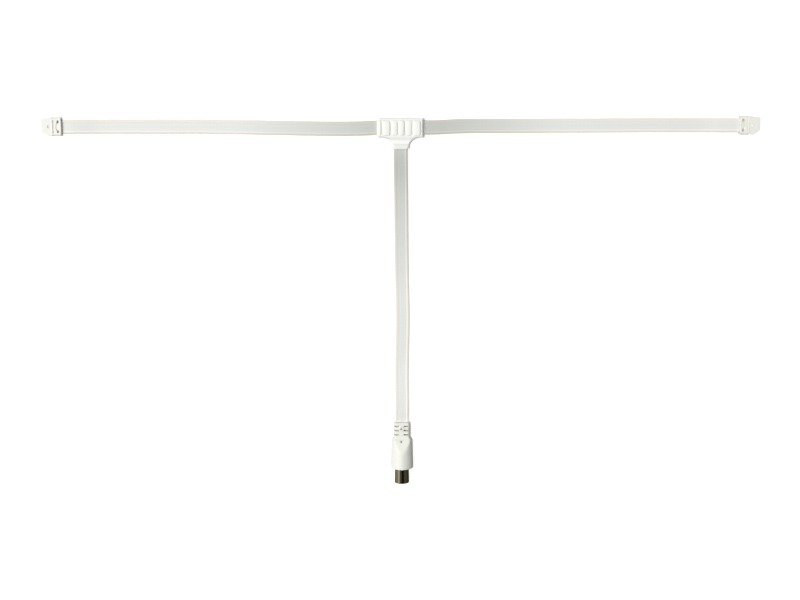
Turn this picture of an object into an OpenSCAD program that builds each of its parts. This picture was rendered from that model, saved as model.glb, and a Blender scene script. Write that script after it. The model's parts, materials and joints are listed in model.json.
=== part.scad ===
// Indoor FM dipole antenna: two flat arms, a moulded tee, a flat feeder and a coaxial plug.
// It lies face up on a surface: +X to the right arm, +Y away from the plug, +Z out of the surface.
// The origin is on the surface, under the middle of the tee cover.

/* [Ribbon] */
// Width of the flat twin-lead ribbon
ribbon_w = 10; // [9:0.5:11]
// Thickness of the insulation over each conductor
bead_d = 2.2; // [1.8:0.1:2.4]
// Thickness of the web between the two conductors
web_t = 0.7; // [0.5:0.1:1]
// Distance between the two conductors, centre to centre
conductor_pitch = 7.8; // [7:0.1:8]
// Diameter of a stripped stranded conductor
conductor_d = 0.9; // [0.6:0.1:1]

/* [Tee cover] */
// Length of the ribbed block along the arms
tee_w = 33.5; // [30:0.5:40]
// Width of the ribbed block across the arms
tee_h = 14; // [13:0.5:16]
// Thickness of the tee cover
tee_t = 7.2; // [6.8:0.1:7.6]
// Radius of the block's corners, seen from the front
tee_corner_r = 1.6; // [1:0.1:1.7]
// Width of the neck that the feeder leaves by
neck_w = 12.2; // [12:0.1:13]
// Length of the neck below the block
neck_l = 7.8; // [7:0.1:9]
// Thickness of the neck
neck_t = 5.4; // [5:0.1:6]
// How far each flare runs along the block
flare_w = 8.6; // [6:0.1:8.6]
// How far each flare runs down the neck
flare_l = 6; // [4:0.1:6.5]
// Height of the raised grip panel, across the arms
panel_h = 10.6; // [9:0.1:11]
// How far the grip panel stands proud of the band round it
panel_rise = 0.35; // [0.2:0.05:0.6]
// Number of finger grooves in the grip panel
groove_count = 6; // [4:1:7]
// Distance between grooves
groove_pitch = 5.3; // [4:0.1:5.4]
// Radius of a groove's round bottom
groove_r = 0.75; // [0.5:0.05:0.9]

/* [End caps] */
// How far the ribbon runs into each end cap
ribbon_seat = 4.7; // [4.5:0.1:5.2]
// Length of an end cap, from its mouth to its tip
cap_l = 13.8; // [13.5:0.1:16]
// Wall between an end cap's pocket and its hanging hole
cap_front_wall = 1; // [0.8:0.1:1.2]
// Width of an end cap
cap_w = 13; // [12.6:0.1:14]
// Thickness of an end cap's hollow body
cap_t = 5.2; // [5:0.1:5.4]
// Thickness of the flat hanging tab
tab_t = 4.4; // [4:0.1:4.6]
// Diameter of the hole that a nail or pin goes through
hang_hole_d = 2; // [1.6:0.1:2.4]
// Room between the ribbon and the pocket in the cap, on each side
pocket_clearance = 0.2; // [0.1:0.05:0.3]

/* [Plug body] */
// Width of the strain relief
relief_w = 12.5; // [12:0.1:14]
// Thickness of the strain relief
relief_t = 7.4; // [7:0.1:8]
// Length of the strain relief
relief_l = 10.8; // [10.8:0.1:12]
// Length of the shoulder between the strain relief and the grip
shoulder_l = 3; // [2.5:0.1:4]
// Length of the round grip
grip_l = 20.7; // [20.2:0.1:22]
// Diameter of the grip where it meets the shoulder
grip_top_d = 15.3; // [14.8:0.1:15.8]
// Diameter of the grip at the socket end
grip_end_d = 16.4; // [16.4:0.1:17]
// Distance from the strain relief to the end of the thumb flat
thumb_l = 13.2; // [12:0.1:14]
// Number of relief slots in each column
slot_rows = 3; // [2:1:3]
// Distance between relief slots along the plug
slot_pitch = 3.1; // [2.8:0.1:3.2]
// Length of a relief slot across the plug
slot_w = 3; // [2.5:0.1:3.3]
// Width of a relief slot along the plug
slot_gap = 0.9; // [0.6:0.1:1.2]
// Depth of a relief slot
slot_depth = 1.8; // [1:0.1:2]

/* [Coaxial socket] */
// Inner diameter of the outer contact, which takes a 9.5 mm plug
sleeve_bore_d = 9.55; // [9.5:0.01:9.6]
// Wall of the outer contact
sleeve_wall = 0.42; // [0.3:0.01:0.5]
// How far the outer contact stands out of the grip
sleeve_proud = 11.2; // [10:0.1:12]
// How far the outer contact runs into the grip
sleeve_seat = 9.8; // [8:0.1:11]
// Inner diameter of the centre contact, which takes a 2.4 mm pin
contact_bore_d = 2.4; // [2.3:0.05:2.5]
// Wall of the centre contact
contact_wall = 0.5; // [0.4:0.05:0.6]
// How far the centre contact stops short of the outer contact's rim
contact_recess = 1.1; // [0.5:0.1:2]
// Length of the insulator inside the outer contact
insulator_l = 7; // [5:0.1:8]

/* [Matching transformer] */
// Width of the two-hole ferrite core
core_w = 7; // [6:0.1:8]
// Thickness of the core
core_t = 4; // [3.6:0.1:4.4]
// Length of the core along the plug
core_l = 6; // [5:0.1:6.4]
// Diameter of each hole in the core
core_hole_d = 1.9; // [1.8:0.1:2.2]
// Distance between the holes in the core
core_hole_pitch = 3.5; // [3.2:0.1:4]
// Diameter of the winding wire
winding_d = 0.6; // [0.4:0.05:0.6]

/* [Hidden] */
$fn = 64;
// Steps in a rounded corner of an outline
arc_steps = 6;
// How far a cutting shape runs past the face that it cuts
overrun = 1;

// Route of the dipole ribbon's centreline, from inside the left cap, through the tee, to the right cap.
dipole_route = [
    [-240.5, 0.5, 2.6], [-235, 0.5, 2.6], [-229, 0.5, 2.6], [-221, 0.5, 2.1], [-212, 0.5, 1.4], [-202, 0.5, 1.2],
    [-186, 0.5, 1.2], [-170, 0.5, 1.2], [-154, 0.5, 1.2], [-138, 0.5, 1.2], [-122, 0.2, 1.2], [-106, 0, 1.2],
    [-90, -0.3, 1.2], [-74, -0.6, 1.2], [-58, -0.8, 1.2], [-44, -0.8, 1.4], [-33, -0.5, 2.5], [-25, 0, 3.6],
    [-17, 0, 3.6], [17, 0, 3.6], [25, 0, 3.6], [33, 0.5, 2.5], [44, 0.9, 1.4], [58, 1, 1.2], [74, 1, 1.2],
    [90, 1, 1.2], [106, 1.2, 1.2], [122, 1.2, 1.2], [138, 1.3, 1.2], [154, 1.4, 1.2], [170, 1.5, 1.2],
    [186, 1.5, 1.2], [202, 1.5, 1.2], [212, 1.5, 1.4], [221, 1.5, 2.1], [229, 1.5, 2.6], [235, 1.5, 2.6],
    [240.5, 1.5, 2.6],
];
// Route of the feeder ribbon's centreline, from inside the tee to inside the plug.
feeder_route = [
    [0, -6.6, 3.6], [0, -14, 3.6], [0, -20, 3.6], [0.1, -28, 2.9], [0.2, -37, 1.7], [0.4, -48, 1.2],
    [0.5, -62, 1.2], [0.6, -76, 1.2], [0.7, -90, 1.2], [0.9, -104, 1.2], [1.2, -118, 1.2], [1.5, -132, 1.2],
    [1.4, -146, 1.2], [1.1, -158, 1.3], [0.9, -168, 1.9], [0.8, -177, 3.5], [0.9, -186, 5.6], [1, -195, 7.4],
    [1, -203, 8.2], [1, -209, 8.2], [1, -218, 8.2],
];

// Ribbon section: heights and insets that draw each bead with flat sides.
bead_side_share = 0.5;
bead_inset_share = 0.32;
bead_width_share = 0.95;

// Places of the ribbons inside the mouldings.
tee_mid_z = tee_t / 2;
cap_mid_z = cap_t / 2;
conductor_x = conductor_pitch / 2;
conductor_r = conductor_d / 2;
arm_y = [dipole_route[0][1], dipole_route[len(dipole_route) - 1][1]];
cap_mouth_x = dipole_route[len(dipole_route) - 1][0] - ribbon_seat;
feeder_top_y = feeder_route[0][1];
plug_x = feeder_route[len(feeder_route) - 1][0];
plug_top_y = feeder_route[len(feeder_route) - 2][1];
plug_axis_z = grip_end_d / 2;
feeder_end_p = plug_top_y - feeder_route[len(feeder_route) - 1][1];

// Window stripped out of the dipole ribbon, where the feeder is soldered on.
tee_solder_r = 1.05;
strip_gap = 0.65;
strip_inner_gap = 0.25;
strip_w = conductor_pitch + tee_solder_r + tee_solder_r + strip_gap + strip_gap;
strip_inner_y = conductor_x - tee_solder_r - strip_inner_gap;

// Tee cover: edges, the neck's ridge and its taper.
tee_edge_w = 1.6;
tee_edge_drop = 2.2;
tee_end_w = 2.4;
tee_end_drop = 2.8;
tee_foot = 0.9;
tee_base_z = (tee_t - neck_t) / 2;
neck_corner_r = 1;
ridge_gap = 2.6;
ridge_l = 2.1;
ridge_step = 0.6;
ridge_lead = 0.5;
neck_taper = 1;
groove_lift = 0.15;

// End cap: the pocket, the hollow body round it, the hanging tab's outline and the marks in the front face.
link_reach = 0.6;
link_gap = 0.45;
pocket_l = ribbon_seat + link_reach + conductor_r + link_gap;
cap_body_reach = 0.3;
cap_body_l = pocket_l + cap_body_reach;
tab_chamfer_l = 4.6;
tab_chamfer_w = 3.1;
tab_step_gap = 2.2;
tab_step_x = cap_body_l + tab_step_gap;
tab_step = 0.8;
tab_corner_r = 1.2;
cap_edge_w = 1.6;
cap_edge_drop = 1.3;
cap_foot = 0.6;
hang_hole_x = pocket_l + cap_front_wall + hang_hole_d / 2;
latch_back = 1.6;
latch_x = cap_body_l - latch_back;
latch_groove_w = 0.7;
latch_groove_l = 9;
latch_groove_depth = 0.6;
latch_rib_l = 10;
latch_rib_h = 0.3;
tongue_gap = 1.9;
tongue_back = 3.5;
tongue_r = latch_x - tongue_gap + tongue_back;
tongue_groove_w = 0.8;
tongue_groove_depth = 0.5;
window_turn = 31.5;
window_x = tongue_r * cos(window_turn) - tongue_back;
window_y = tongue_r * sin(window_turn);
window_w = 1.2;
window_l = 2;

// Plug body: lengths from the top of the strain relief, and its small features.
grip_top_p = relief_l + shoulder_l;
body_l = grip_top_p + grip_l;
relief_corner_r = 3;
grip_end_r = 0.8;
slot_x = 3.4;
slot_first_p = 3.2;
boss_p = 4.9;
boss_r = 1.7;
boss_h = 0.3;
dimple_r = 0.6;
dimple_depth = 0.8;
dimple_p = 14.4;

// Coaxial socket, along the plug from the same datum.
sleeve_r = sleeve_bore_d / 2 + sleeve_wall;
sleeve_start_p = body_l - sleeve_seat;
sleeve_end_p = body_l + sleeve_proud;
contact_r = contact_bore_d / 2 + contact_wall;
contact_end_p = sleeve_end_p - contact_recess;
contact_back = 1.2;
contact_bore_l = 10;
contact_slit_w = 0.4;
contact_slit_l = 7.6;
tail_r = 0.8;
tail_l = 1.5;
insulator_boss_r = 2.9;
insulator_boss_l = 1.5;

// Matching transformer and its joints, along the plug from the same datum.
plug_solder_r = 1.1;
stub_l = 1.9;
solder_gap = 0.75;
core_gap = 0.7;
winding_lift = 0.45;
winding_r = winding_d / 2;
turn_gap = 0.7;
solder_p = feeder_end_p + stub_l;
primary_p = solder_p + solder_gap;
secondary_top_p = primary_p + winding_lift + winding_lift;
core_top_p = secondary_top_p + core_gap;
core_end_p = core_top_p + core_l;
primary_turn_p = core_end_p + turn_gap;
tail_start_p = sleeve_start_p - contact_back - tail_l;
secondary_exit_p = tail_start_p - turn_gap;
hole_x = core_hole_pitch / 2;

// Colours of the real pieces.
moulding_colour = "white";
ribbon_colour = "gainsboro";
copper_colour = "peru";
solder_colour = "silver";
nickel_colour = "dimgray";
ferrite_colour = "darkslategray";

function arc_points(centre, radii, from, to) = [
    for (i = [0:arc_steps])
        let (a = from + (to - from) * i / arc_steps)
        [centre[0] + radii[0] * cos(a), centre[1] + radii[1] * sin(a)]
];

// The dumbbell section of the ribbon, with its width along the first axis.
function ribbon_section() =
    let (
        side = [ribbon_w / 2, bead_d / 2 * bead_side_share],
        crown = [ribbon_w / 2 - bead_d * bead_inset_share, bead_d / 2],
        root = [ribbon_w / 2 - bead_d * bead_width_share, web_t / 2]
    ) [
        [side[0], -side[1]], side, crown, root,
        [-root[0], root[1]], [-crown[0], crown[1]], [-side[0], side[1]], -side,
        -crown, -root, [root[0], -root[1]], [crown[0], -crown[1]],
    ];

function unit(v) = v / norm(v);

// One ring of the ribbon's section, level across its width, at a point of the route.
function ribbon_ring(route, i) =
    let (
        last = len(route) - 1,
        along = unit(route[min(i + 1, last)] - route[max(i - 1, 0)]),
        side = unit(cross([0, 0, 1], along)),
        up = cross(along, side)
    ) [for (p = ribbon_section()) route[i] + side * p[0] + up * p[1]];

module ribbon(route) {
    rings = [for (i = [0:len(route) - 1]) ribbon_ring(route, i)];
    n = len(rings[0]);
    last = (len(rings) - 1) * n;
    polyhedron(
        points = [for (ring = rings) each ring],
        faces = [
            [for (j = [0:n - 1]) n - 1 - j],
            [for (j = [0:n - 1]) last + j],
            for (i = [0:len(rings) - 2], j = [0:n - 1])
                [i * n + j, i * n + (j + 1) % n, (i + 1) * n + j],
            for (i = [0:len(rings) - 2], j = [0:n - 1])
                [i * n + (j + 1) % n, (i + 1) * n + (j + 1) % n, (i + 1) * n + j],
        ]
    );
}

// Turns a profile drawn in (Y, Z) into a bar along +X.
module along_x(length) rotate([90, 0, 90]) linear_extrude(length) children();

// Turns a profile drawn in (X, Z) into a bar along -Y.
module along_y(length) rotate([90, 0, 0]) linear_extrude(length) children();

// A round wire through points that differ along one axis at a time, with round elbows.
module wire(points, r) {
    last = len(points) - 1;
    for (i = [0:last - 1]) {
        step = points[i + 1] - points[i];
        turn = step[0] != 0 ? [0, 90, 0] : step[1] != 0 ? [-90, 0, 0] : [0, 0, 0];
        back = step[0] + step[1] + step[2] < 0 ? norm(step) : 0;
        translate(points[i]) rotate(turn) translate([0, 0, -back]) cylinder(r = r, h = norm(step));
    }
    for (i = [1:1:last - 1]) translate(points[i]) sphere(r);
}

// Tee cover

module tee_plan() {
    w = tee_w / 2;
    h = tee_h / 2;
    n = neck_w / 2;
    end_y = -h - neck_l;
    polygon(concat(
        arc_points([w - tee_corner_r, h - tee_corner_r], [tee_corner_r, tee_corner_r], 0, 90),
        arc_points([tee_corner_r - w, h - tee_corner_r], [tee_corner_r, tee_corner_r], 90, 180),
        arc_points([tee_corner_r - w, tee_corner_r - h], [tee_corner_r, tee_corner_r], 180, 270),
        arc_points([-n - flare_w, -h - flare_l], [flare_w, flare_l], 90, 0),
        arc_points([neck_corner_r - n, end_y + neck_corner_r], [neck_corner_r, neck_corner_r], 180, 270),
        arc_points([n - neck_corner_r, end_y + neck_corner_r], [neck_corner_r, neck_corner_r], 270, 360),
        arc_points([n + flare_w, -h - flare_l], [flare_w, flare_l], 180, 90),
        arc_points([w - tee_corner_r, tee_corner_r - h], [tee_corner_r, tee_corner_r], 270, 360)
    ));
}

// Side view of the cover: the foot, the rounded back edge, the grip panel and the ridged neck.
module tee_side() {
    h = tee_h / 2;
    p = panel_h / 2;
    band_z = tee_t - panel_rise;
    neck_z = tee_base_z + neck_t;
    ridge_y = -h - ridge_gap;
    end_y = -h - neck_l;
    polygon(concat(
        [[end_y, tee_base_z], [-h, tee_base_z], [tee_foot - h, 0], [h - tee_foot, 0], [h, tee_foot]],
        arc_points([h - tee_edge_w, band_z - tee_edge_drop], [tee_edge_w, tee_edge_drop], 0, 90),
        [
            [p, band_z], [p, tee_t], [-p, tee_t], [-p, band_z], [ridge_lead - h, band_z],
            [ridge_y + ridge_lead, neck_z - ridge_step], [ridge_y, neck_z], [ridge_y - ridge_l, neck_z],
            [end_y, neck_z - neck_taper],
        ]
    ));
}

module tee_end_view() {
    w = tee_w / 2;
    polygon(concat(
        [[tee_foot - w, 0], [w - tee_foot, 0], [w, tee_foot]],
        arc_points([w - tee_end_w, tee_t - tee_end_drop], [tee_end_w, tee_end_drop], 0, 90),
        arc_points([tee_end_w - w, tee_t - tee_end_drop], [tee_end_w, tee_end_drop], 90, 180),
        [[-w, tee_foot]]
    ));
}

module tee_body() {
    intersection() {
        linear_extrude(tee_t) tee_plan();
        translate([-tee_w / 2, 0, 0]) along_x(tee_w) tee_side();
        translate([0, tee_h, 0]) along_y(tee_h + tee_h + neck_l) tee_end_view();
    }
}

module finger_grooves() {
    first = -groove_pitch * (groove_count - 1) / 2;
    for (i = [0:groove_count - 1])
        translate([first + groove_pitch * i, panel_h / 2 + overrun, tee_t + groove_lift])
            rotate([90, 0, 0]) cylinder(r = groove_r, h = panel_h + overrun + overrun);
}

// The stretch of each ribbon that the tee cover is moulded round.
module tee_ribbons() {
    difference() {
        translate([-tee_w / 2 - overrun, 0, tee_mid_z]) along_x(tee_w + overrun + overrun) polygon(ribbon_section());
        strip_window();
    }
    translate([0, feeder_top_y, tee_mid_z]) along_y(neck_l + tee_h / 2) polygon(ribbon_section());
}

module strip_window() {
    translate([-strip_w / 2, -ribbon_w / 2 - overrun, tee_mid_z - bead_d])
        cube([strip_w, ribbon_w / 2 + overrun - strip_inner_y, bead_d + bead_d]);
}

// Bare end of the arm's cut conductor, pointing in from the stripped window's edge.
module arm_wire_end(side) {
    wire([
        [side * strip_w / 2, -conductor_x, tee_mid_z],
        [side * (conductor_x - conductor_r), -conductor_x, tee_mid_z],
    ], conductor_r);
}

// Bare end of the feeder's conductor, pointing up to the arm's conductor.
module feeder_wire_end(side) {
    wire([
        [side * conductor_x, feeder_top_y, tee_mid_z],
        [side * conductor_x, -conductor_x - conductor_r, tee_mid_z],
    ], conductor_r);
}

module tee_solder(side) {
    difference() {
        translate([side * conductor_x, -conductor_x, tee_mid_z]) sphere(tee_solder_r);
        arm_wire_end(side);
        feeder_wire_end(side);
    }
}

module tee_cover() {
    color(moulding_colour) difference() {
        tee_body();
        finger_grooves();
        tee_ribbons();
        for (side = [-1, 1]) {
            arm_wire_end(side);
            feeder_wire_end(side);
            translate([side * conductor_x, -conductor_x, tee_mid_z]) sphere(tee_solder_r);
        }
    }
}

// Ribbons

module dipole_ribbon() {
    color(ribbon_colour) difference() {
        ribbon(dipole_route);
        strip_window();
    }
}

module feeder_ribbon() {
    color(ribbon_colour) ribbon(feeder_route);
}

// End caps, drawn with the mouth at the origin and the tip along +X

module cap_section() {
    w = cap_w / 2;
    polygon(concat(
        [[cap_foot - w, 0], [w - cap_foot, 0], [w, cap_foot]],
        arc_points([w - cap_edge_w, cap_t - cap_edge_drop], [cap_edge_w, cap_edge_drop], 0, 90),
        arc_points([cap_edge_w - w, cap_t - cap_edge_drop], [cap_edge_w, cap_edge_drop], 90, 180),
        [[-w, cap_foot]]
    ));
}

module tab_plan() {
    w = cap_w / 2;
    top = w - tab_step;
    polygon(concat(
        [[cap_body_l - overrun, cap_foot - w], [cap_l - tab_chamfer_l, -w], [cap_l, tab_chamfer_w - w]],
        arc_points([cap_l - tab_corner_r, top - tab_corner_r], [tab_corner_r, tab_corner_r], 0, 90),
        [[tab_step_x, top], [tab_step_x, w], [cap_body_l - overrun, w]]
    ));
}

module cap_windows() {
    for (side = [-1, 1]) translate([window_x, side * window_y, cap_mid_z]) {
        for (end = [-1, 1]) translate([0, end * (window_l - window_w) / 2, 0])
            cylinder(d = window_w, h = cap_t);
        translate([-window_w / 2, (window_w - window_l) / 2, 0]) cube([window_w, window_l - window_w, cap_t]);
    }
}

// Shallow round groove that outlines the tongue between the two windows.
module tongue_groove() {
    reach = tongue_r + tongue_groove_w;
    translate([0, 0, cap_t - tongue_groove_depth]) intersection() {
        difference() {
            translate([-tongue_back, 0, 0]) cylinder(r = tongue_r + tongue_groove_w / 2, h = cap_t);
            translate([-tongue_back, 0, -overrun])
                cylinder(r = tongue_r - tongue_groove_w / 2, h = cap_t + overrun + overrun);
        }
        translate([window_x, -reach, 0]) cube([reach, reach + reach, cap_t]);
    }
}

module end_cap_shape() {
    pocket_w = ribbon_w + pocket_clearance + pocket_clearance;
    pocket_h = bead_d + pocket_clearance + pocket_clearance;
    difference() {
        union() {
            along_x(cap_body_l) cap_section();
            linear_extrude(tab_t) tab_plan();
            translate([latch_x + latch_groove_w, -latch_rib_l / 2, cap_t - latch_rib_h])
                cube([latch_groove_w, latch_rib_l, latch_rib_h + latch_rib_h]);
        }
        translate([-overrun, -pocket_w / 2, cap_mid_z - pocket_h / 2]) cube([pocket_l + overrun, pocket_w, pocket_h]);
        cap_windows();
        tongue_groove();
        translate([latch_x, -latch_groove_l / 2, cap_t - latch_groove_depth])
            cube([latch_groove_w, latch_groove_l, cap_t]);
        translate([hang_hole_x, 0, -overrun]) cylinder(d = hang_hole_d, h = tab_t + overrun + overrun);
    }
}

// The two conductors turned in and joined at the end of an arm.
module end_link_shape() {
    wire([
        [ribbon_seat, -conductor_x, cap_mid_z],
        [ribbon_seat + link_reach, -conductor_x, cap_mid_z],
        [ribbon_seat + link_reach, conductor_x, cap_mid_z],
        [ribbon_seat, conductor_x, cap_mid_z],
    ], conductor_r);
}

module at_left_end() translate([-cap_mouth_x, arm_y[0], 0]) mirror([1, 0, 0]) children();
module at_right_end() translate([cap_mouth_x, arm_y[1], 0]) children();

// Plug: inside at_plug, X is across, Y is up and Z runs from the strain relief to the socket

module at_plug() translate([plug_x, plug_top_y, plug_axis_z]) rotate([90, 0, 0]) children();

module relief_section() {
    w = relief_w / 2 - relief_corner_r;
    h = relief_t / 2 - relief_corner_r;
    r = [relief_corner_r, relief_corner_r];
    polygon(concat(
        arc_points([w, h], r, 0, 90), arc_points([-w, h], r, 90, 180),
        arc_points([-w, -h], r, 180, 270), arc_points([w, -h], r, 270, 360)
    ));
}

module grip_turned() {
    rotate_extrude() polygon(concat(
        [[0, relief_l], [relief_w / 2, relief_l], [grip_top_d / 2, grip_top_p]],
        arc_points([grip_end_d / 2 - grip_end_r, body_l - grip_end_r], [grip_end_r, grip_end_r], 0, 90),
        [[0, body_l]]
    ));
}

// Wedge between the two thumb flats, drawn in (distance along the plug, height).
module thumb_wedge() {
    low = relief_t / 2;
    high = grip_end_d / 2;
    end_p = relief_l + thumb_l;
    rotate([0, -90, 0]) linear_extrude(grip_end_d, center = true) polygon([
        [relief_l, -low], [end_p, -high], [body_l, -high],
        [body_l, high], [end_p, high], [relief_l, low],
    ]);
}

module relief_slots() {
    for (face = [-1, 1], side = [-1, 1], row = [0:slot_rows - 1])
        translate([
            side * slot_x - slot_w / 2,
            face * (relief_t / 2 - slot_depth / 2) - slot_depth / 2 - (face < 0 ? overrun : 0),
            slot_first_p + slot_pitch * row - slot_gap / 2,
        ]) cube([slot_w, slot_depth + overrun, slot_gap]);
}

module plug_outside() {
    difference() {
        union() {
            linear_extrude(relief_l) relief_section();
            intersection() {
                grip_turned();
                thumb_wedge();
            }
            translate([0, 0, boss_p]) rotate([-90, 0, 0]) cylinder(r = boss_r, h = relief_t / 2 + boss_h);
        }
        relief_slots();
        translate([0, relief_t / 2 + boss_h - dimple_depth, boss_p]) rotate([-90, 0, 0])
            cylinder(r = dimple_r, h = relief_t);
        translate([0, relief_t / 2, dimple_p]) rotate([-90, 0, 0]) cylinder(r = dimple_r, h = relief_t);
    }
}

module plug_wire_end_shape(side) {
    wire([[side * conductor_x, 0, feeder_end_p], [side * conductor_x, 0, solder_p]], conductor_r);
}

module plug_solder_ball(side) {
    translate([side * conductor_x, winding_lift / 2, solder_p + winding_r]) sphere(plug_solder_r);
}

module primary_wire() {
    wire([
        [-conductor_x, winding_lift, primary_p], [-hole_x, winding_lift, primary_p],
        [-hole_x, winding_lift, primary_turn_p], [hole_x, winding_lift, primary_turn_p],
        [hole_x, winding_lift, primary_p], [conductor_x, winding_lift, primary_p],
    ], winding_r);
}

module secondary_wire() {
    rim_x = sleeve_r - sleeve_wall / 2;
    wire([
        [0, -winding_lift, tail_start_p], [0, -winding_lift, secondary_exit_p],
        [-hole_x, -winding_lift, secondary_exit_p], [-hole_x, -winding_lift, secondary_top_p],
        [hole_x, -winding_lift, secondary_top_p], [hole_x, -winding_lift, secondary_exit_p],
        [rim_x, -winding_lift, secondary_exit_p], [rim_x, -winding_lift, sleeve_start_p],
    ], winding_r);
}

module core_block() {
    translate([-core_w / 2, -core_t / 2, core_top_p]) cube([core_w, core_t, core_l]);
}

module contact_turned() {
    rotate_extrude() polygon([
        [0, tail_start_p], [tail_r, tail_start_p], [tail_r, tail_start_p + tail_l],
        [contact_r, tail_start_p + tail_l], [contact_r, contact_end_p], [0, contact_end_p],
    ]);
}

module plug_body() {
    color(moulding_colour) at_plug() difference() {
        plug_outside();
        translate([0, 0, -overrun]) linear_extrude(feeder_end_p + overrun) polygon(ribbon_section());
        for (side = [-1, 1]) {
            plug_wire_end_shape(side);
            plug_solder_ball(side);
        }
        core_block();
        primary_wire();
        secondary_wire();
        contact_turned();
        translate([0, 0, sleeve_start_p]) cylinder(r = sleeve_r, h = sleeve_seat + overrun);
    }
}

module plug_sleeve() {
    color(nickel_colour) at_plug() translate([0, 0, sleeve_start_p]) difference() {
        cylinder(r = sleeve_r, h = sleeve_seat + sleeve_proud);
        translate([0, 0, -overrun])
            cylinder(d = sleeve_bore_d, h = sleeve_seat + sleeve_proud + overrun + overrun);
    }
}

module plug_insulator() {
    color(ribbon_colour) at_plug() translate([0, 0, sleeve_start_p]) difference() {
        union() {
            cylinder(d = sleeve_bore_d, h = insulator_l);
            cylinder(r = insulator_boss_r, h = insulator_l + insulator_boss_l);
        }
        translate([0, 0, -overrun]) cylinder(r = contact_r, h = insulator_l + insulator_boss_l + overrun + overrun);
    }
}

module plug_centre_contact() {
    color(nickel_colour) at_plug() difference() {
        contact_turned();
        translate([0, 0, contact_end_p - contact_bore_l]) cylinder(d = contact_bore_d, h = contact_bore_l + overrun);
        for (turn = [0, 90]) rotate([0, 0, turn])
            translate([-contact_r - overrun, -contact_slit_w / 2, contact_end_p - contact_slit_l])
                cube([contact_r + contact_r + overrun + overrun, contact_slit_w, contact_slit_l + overrun]);
    }
}

module plug_solder(side) {
    color(solder_colour) at_plug() difference() {
        plug_solder_ball(side);
        plug_wire_end_shape(side);
        primary_wire();
    }
}

module balun_core() {
    color(ferrite_colour) at_plug() difference() {
        core_block();
        for (side = [-1, 1]) translate([side * hole_x, 0, core_top_p - overrun])
            cylinder(d = core_hole_d, h = core_l + overrun + overrun);
    }
}

tee_cover();
dipole_ribbon();
feeder_ribbon();
color(copper_colour) arm_wire_end(-1);  // left_arm_wire_end
color(copper_colour) arm_wire_end(1);  // right_arm_wire_end
color(copper_colour) feeder_wire_end(-1);  // left_feeder_wire_end
color(copper_colour) feeder_wire_end(1);  // right_feeder_wire_end
color(solder_colour) tee_solder(-1);  // left_tee_solder
color(solder_colour) tee_solder(1);  // right_tee_solder
color(moulding_colour) at_left_end() end_cap_shape();  // left_end_cap
color(moulding_colour) at_right_end() end_cap_shape();  // right_end_cap
color(copper_colour) at_left_end() end_link_shape();  // left_end_link
color(copper_colour) at_right_end() end_link_shape();  // right_end_link
plug_body();
plug_sleeve();
plug_insulator();
plug_centre_contact();
color(copper_colour) at_plug() plug_wire_end_shape(-1);  // left_plug_wire_end
color(copper_colour) at_plug() plug_wire_end_shape(1);  // right_plug_wire_end
plug_solder(-1);  // left_plug_solder
plug_solder(1);  // right_plug_solder
balun_core();
color(copper_colour) at_plug() primary_wire();  // balun_primary
color(copper_colour) at_plug() secondary_wire();  // balun_secondary
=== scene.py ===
"""Indoor FM dipole antenna: two flat arms, a ribbed tee, a flat feeder and a coaxial plug, lying face up."""
import json
import logging
import math
from dataclasses import dataclass
from enum import Enum

import bmesh
import bpy
import numpy as np
from mathutils import Matrix, Vector


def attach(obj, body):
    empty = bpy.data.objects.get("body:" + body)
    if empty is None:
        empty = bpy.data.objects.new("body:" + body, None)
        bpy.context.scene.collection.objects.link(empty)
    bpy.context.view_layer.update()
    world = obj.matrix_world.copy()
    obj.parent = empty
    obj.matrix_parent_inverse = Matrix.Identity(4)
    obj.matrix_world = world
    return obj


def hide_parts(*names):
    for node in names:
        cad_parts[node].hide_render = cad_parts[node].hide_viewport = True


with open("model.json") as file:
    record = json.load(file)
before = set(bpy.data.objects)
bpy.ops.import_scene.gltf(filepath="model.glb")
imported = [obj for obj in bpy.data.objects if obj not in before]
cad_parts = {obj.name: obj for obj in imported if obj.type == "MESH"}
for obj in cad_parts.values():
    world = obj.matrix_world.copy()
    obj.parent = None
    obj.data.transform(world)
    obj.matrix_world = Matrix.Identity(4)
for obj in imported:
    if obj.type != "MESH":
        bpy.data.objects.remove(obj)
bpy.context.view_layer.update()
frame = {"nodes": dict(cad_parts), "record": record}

MM = 0.001
MERGE_M = 0.001 * MM
BODY = "root"
WHITE = "FFFFFF"
BLACK = "000000"
MATH = "ShaderNodeMath"
XYZ = "ShaderNodeCombineXYZ"
NOISE = "ShaderNodeTexNoise"
RANGE = "ShaderNodeMapRange"
MIX = "ShaderNodeMix"
# The sockets of a Mix node that mixes colours
MIX_SHARE = 0
MIX_A = 6
MIX_B = 7
MIX_OUT = 2
log = logging.getLogger("antenna")


# Helpers that every sub-assembly shares


def linear(hex_colour: str) -> tuple[float, float, float, float]:
    """Turns a colour written as an sRGB hex string into the linear values that shaders take.

    Args:
        hex_colour: The colour, such as "F2F1EC".

    Returns:
        Red, green, blue and an alpha of 1.
    """
    parts = [int(hex_colour[i:i + 2], 16) / 255 for i in (0, 2, 4)]
    r, g, b = (c / 12.92 if c <= 0.04045 else ((c + 0.055) / 1.055) ** 2.4 for c in parts)
    return r, g, b, 1.0


def per_metre(mm: float) -> float:
    """Turns the real size of one wave of a pattern into the number of waves in a metre."""
    return 1 / (mm * MM)


def smooth_step(low: float, high: float, x: np.ndarray) -> np.ndarray:
    """Rises from 0 at low to 1 at high with level ends.

    Args:
        low: Where the rise starts.
        high: Where it ends.
        x: The values to look up.

    Returns:
        The step at each value.
    """
    t = np.clip((x - low) / (high - low), 0, 1)
    return t * t * (3 - 2 * t)


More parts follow.
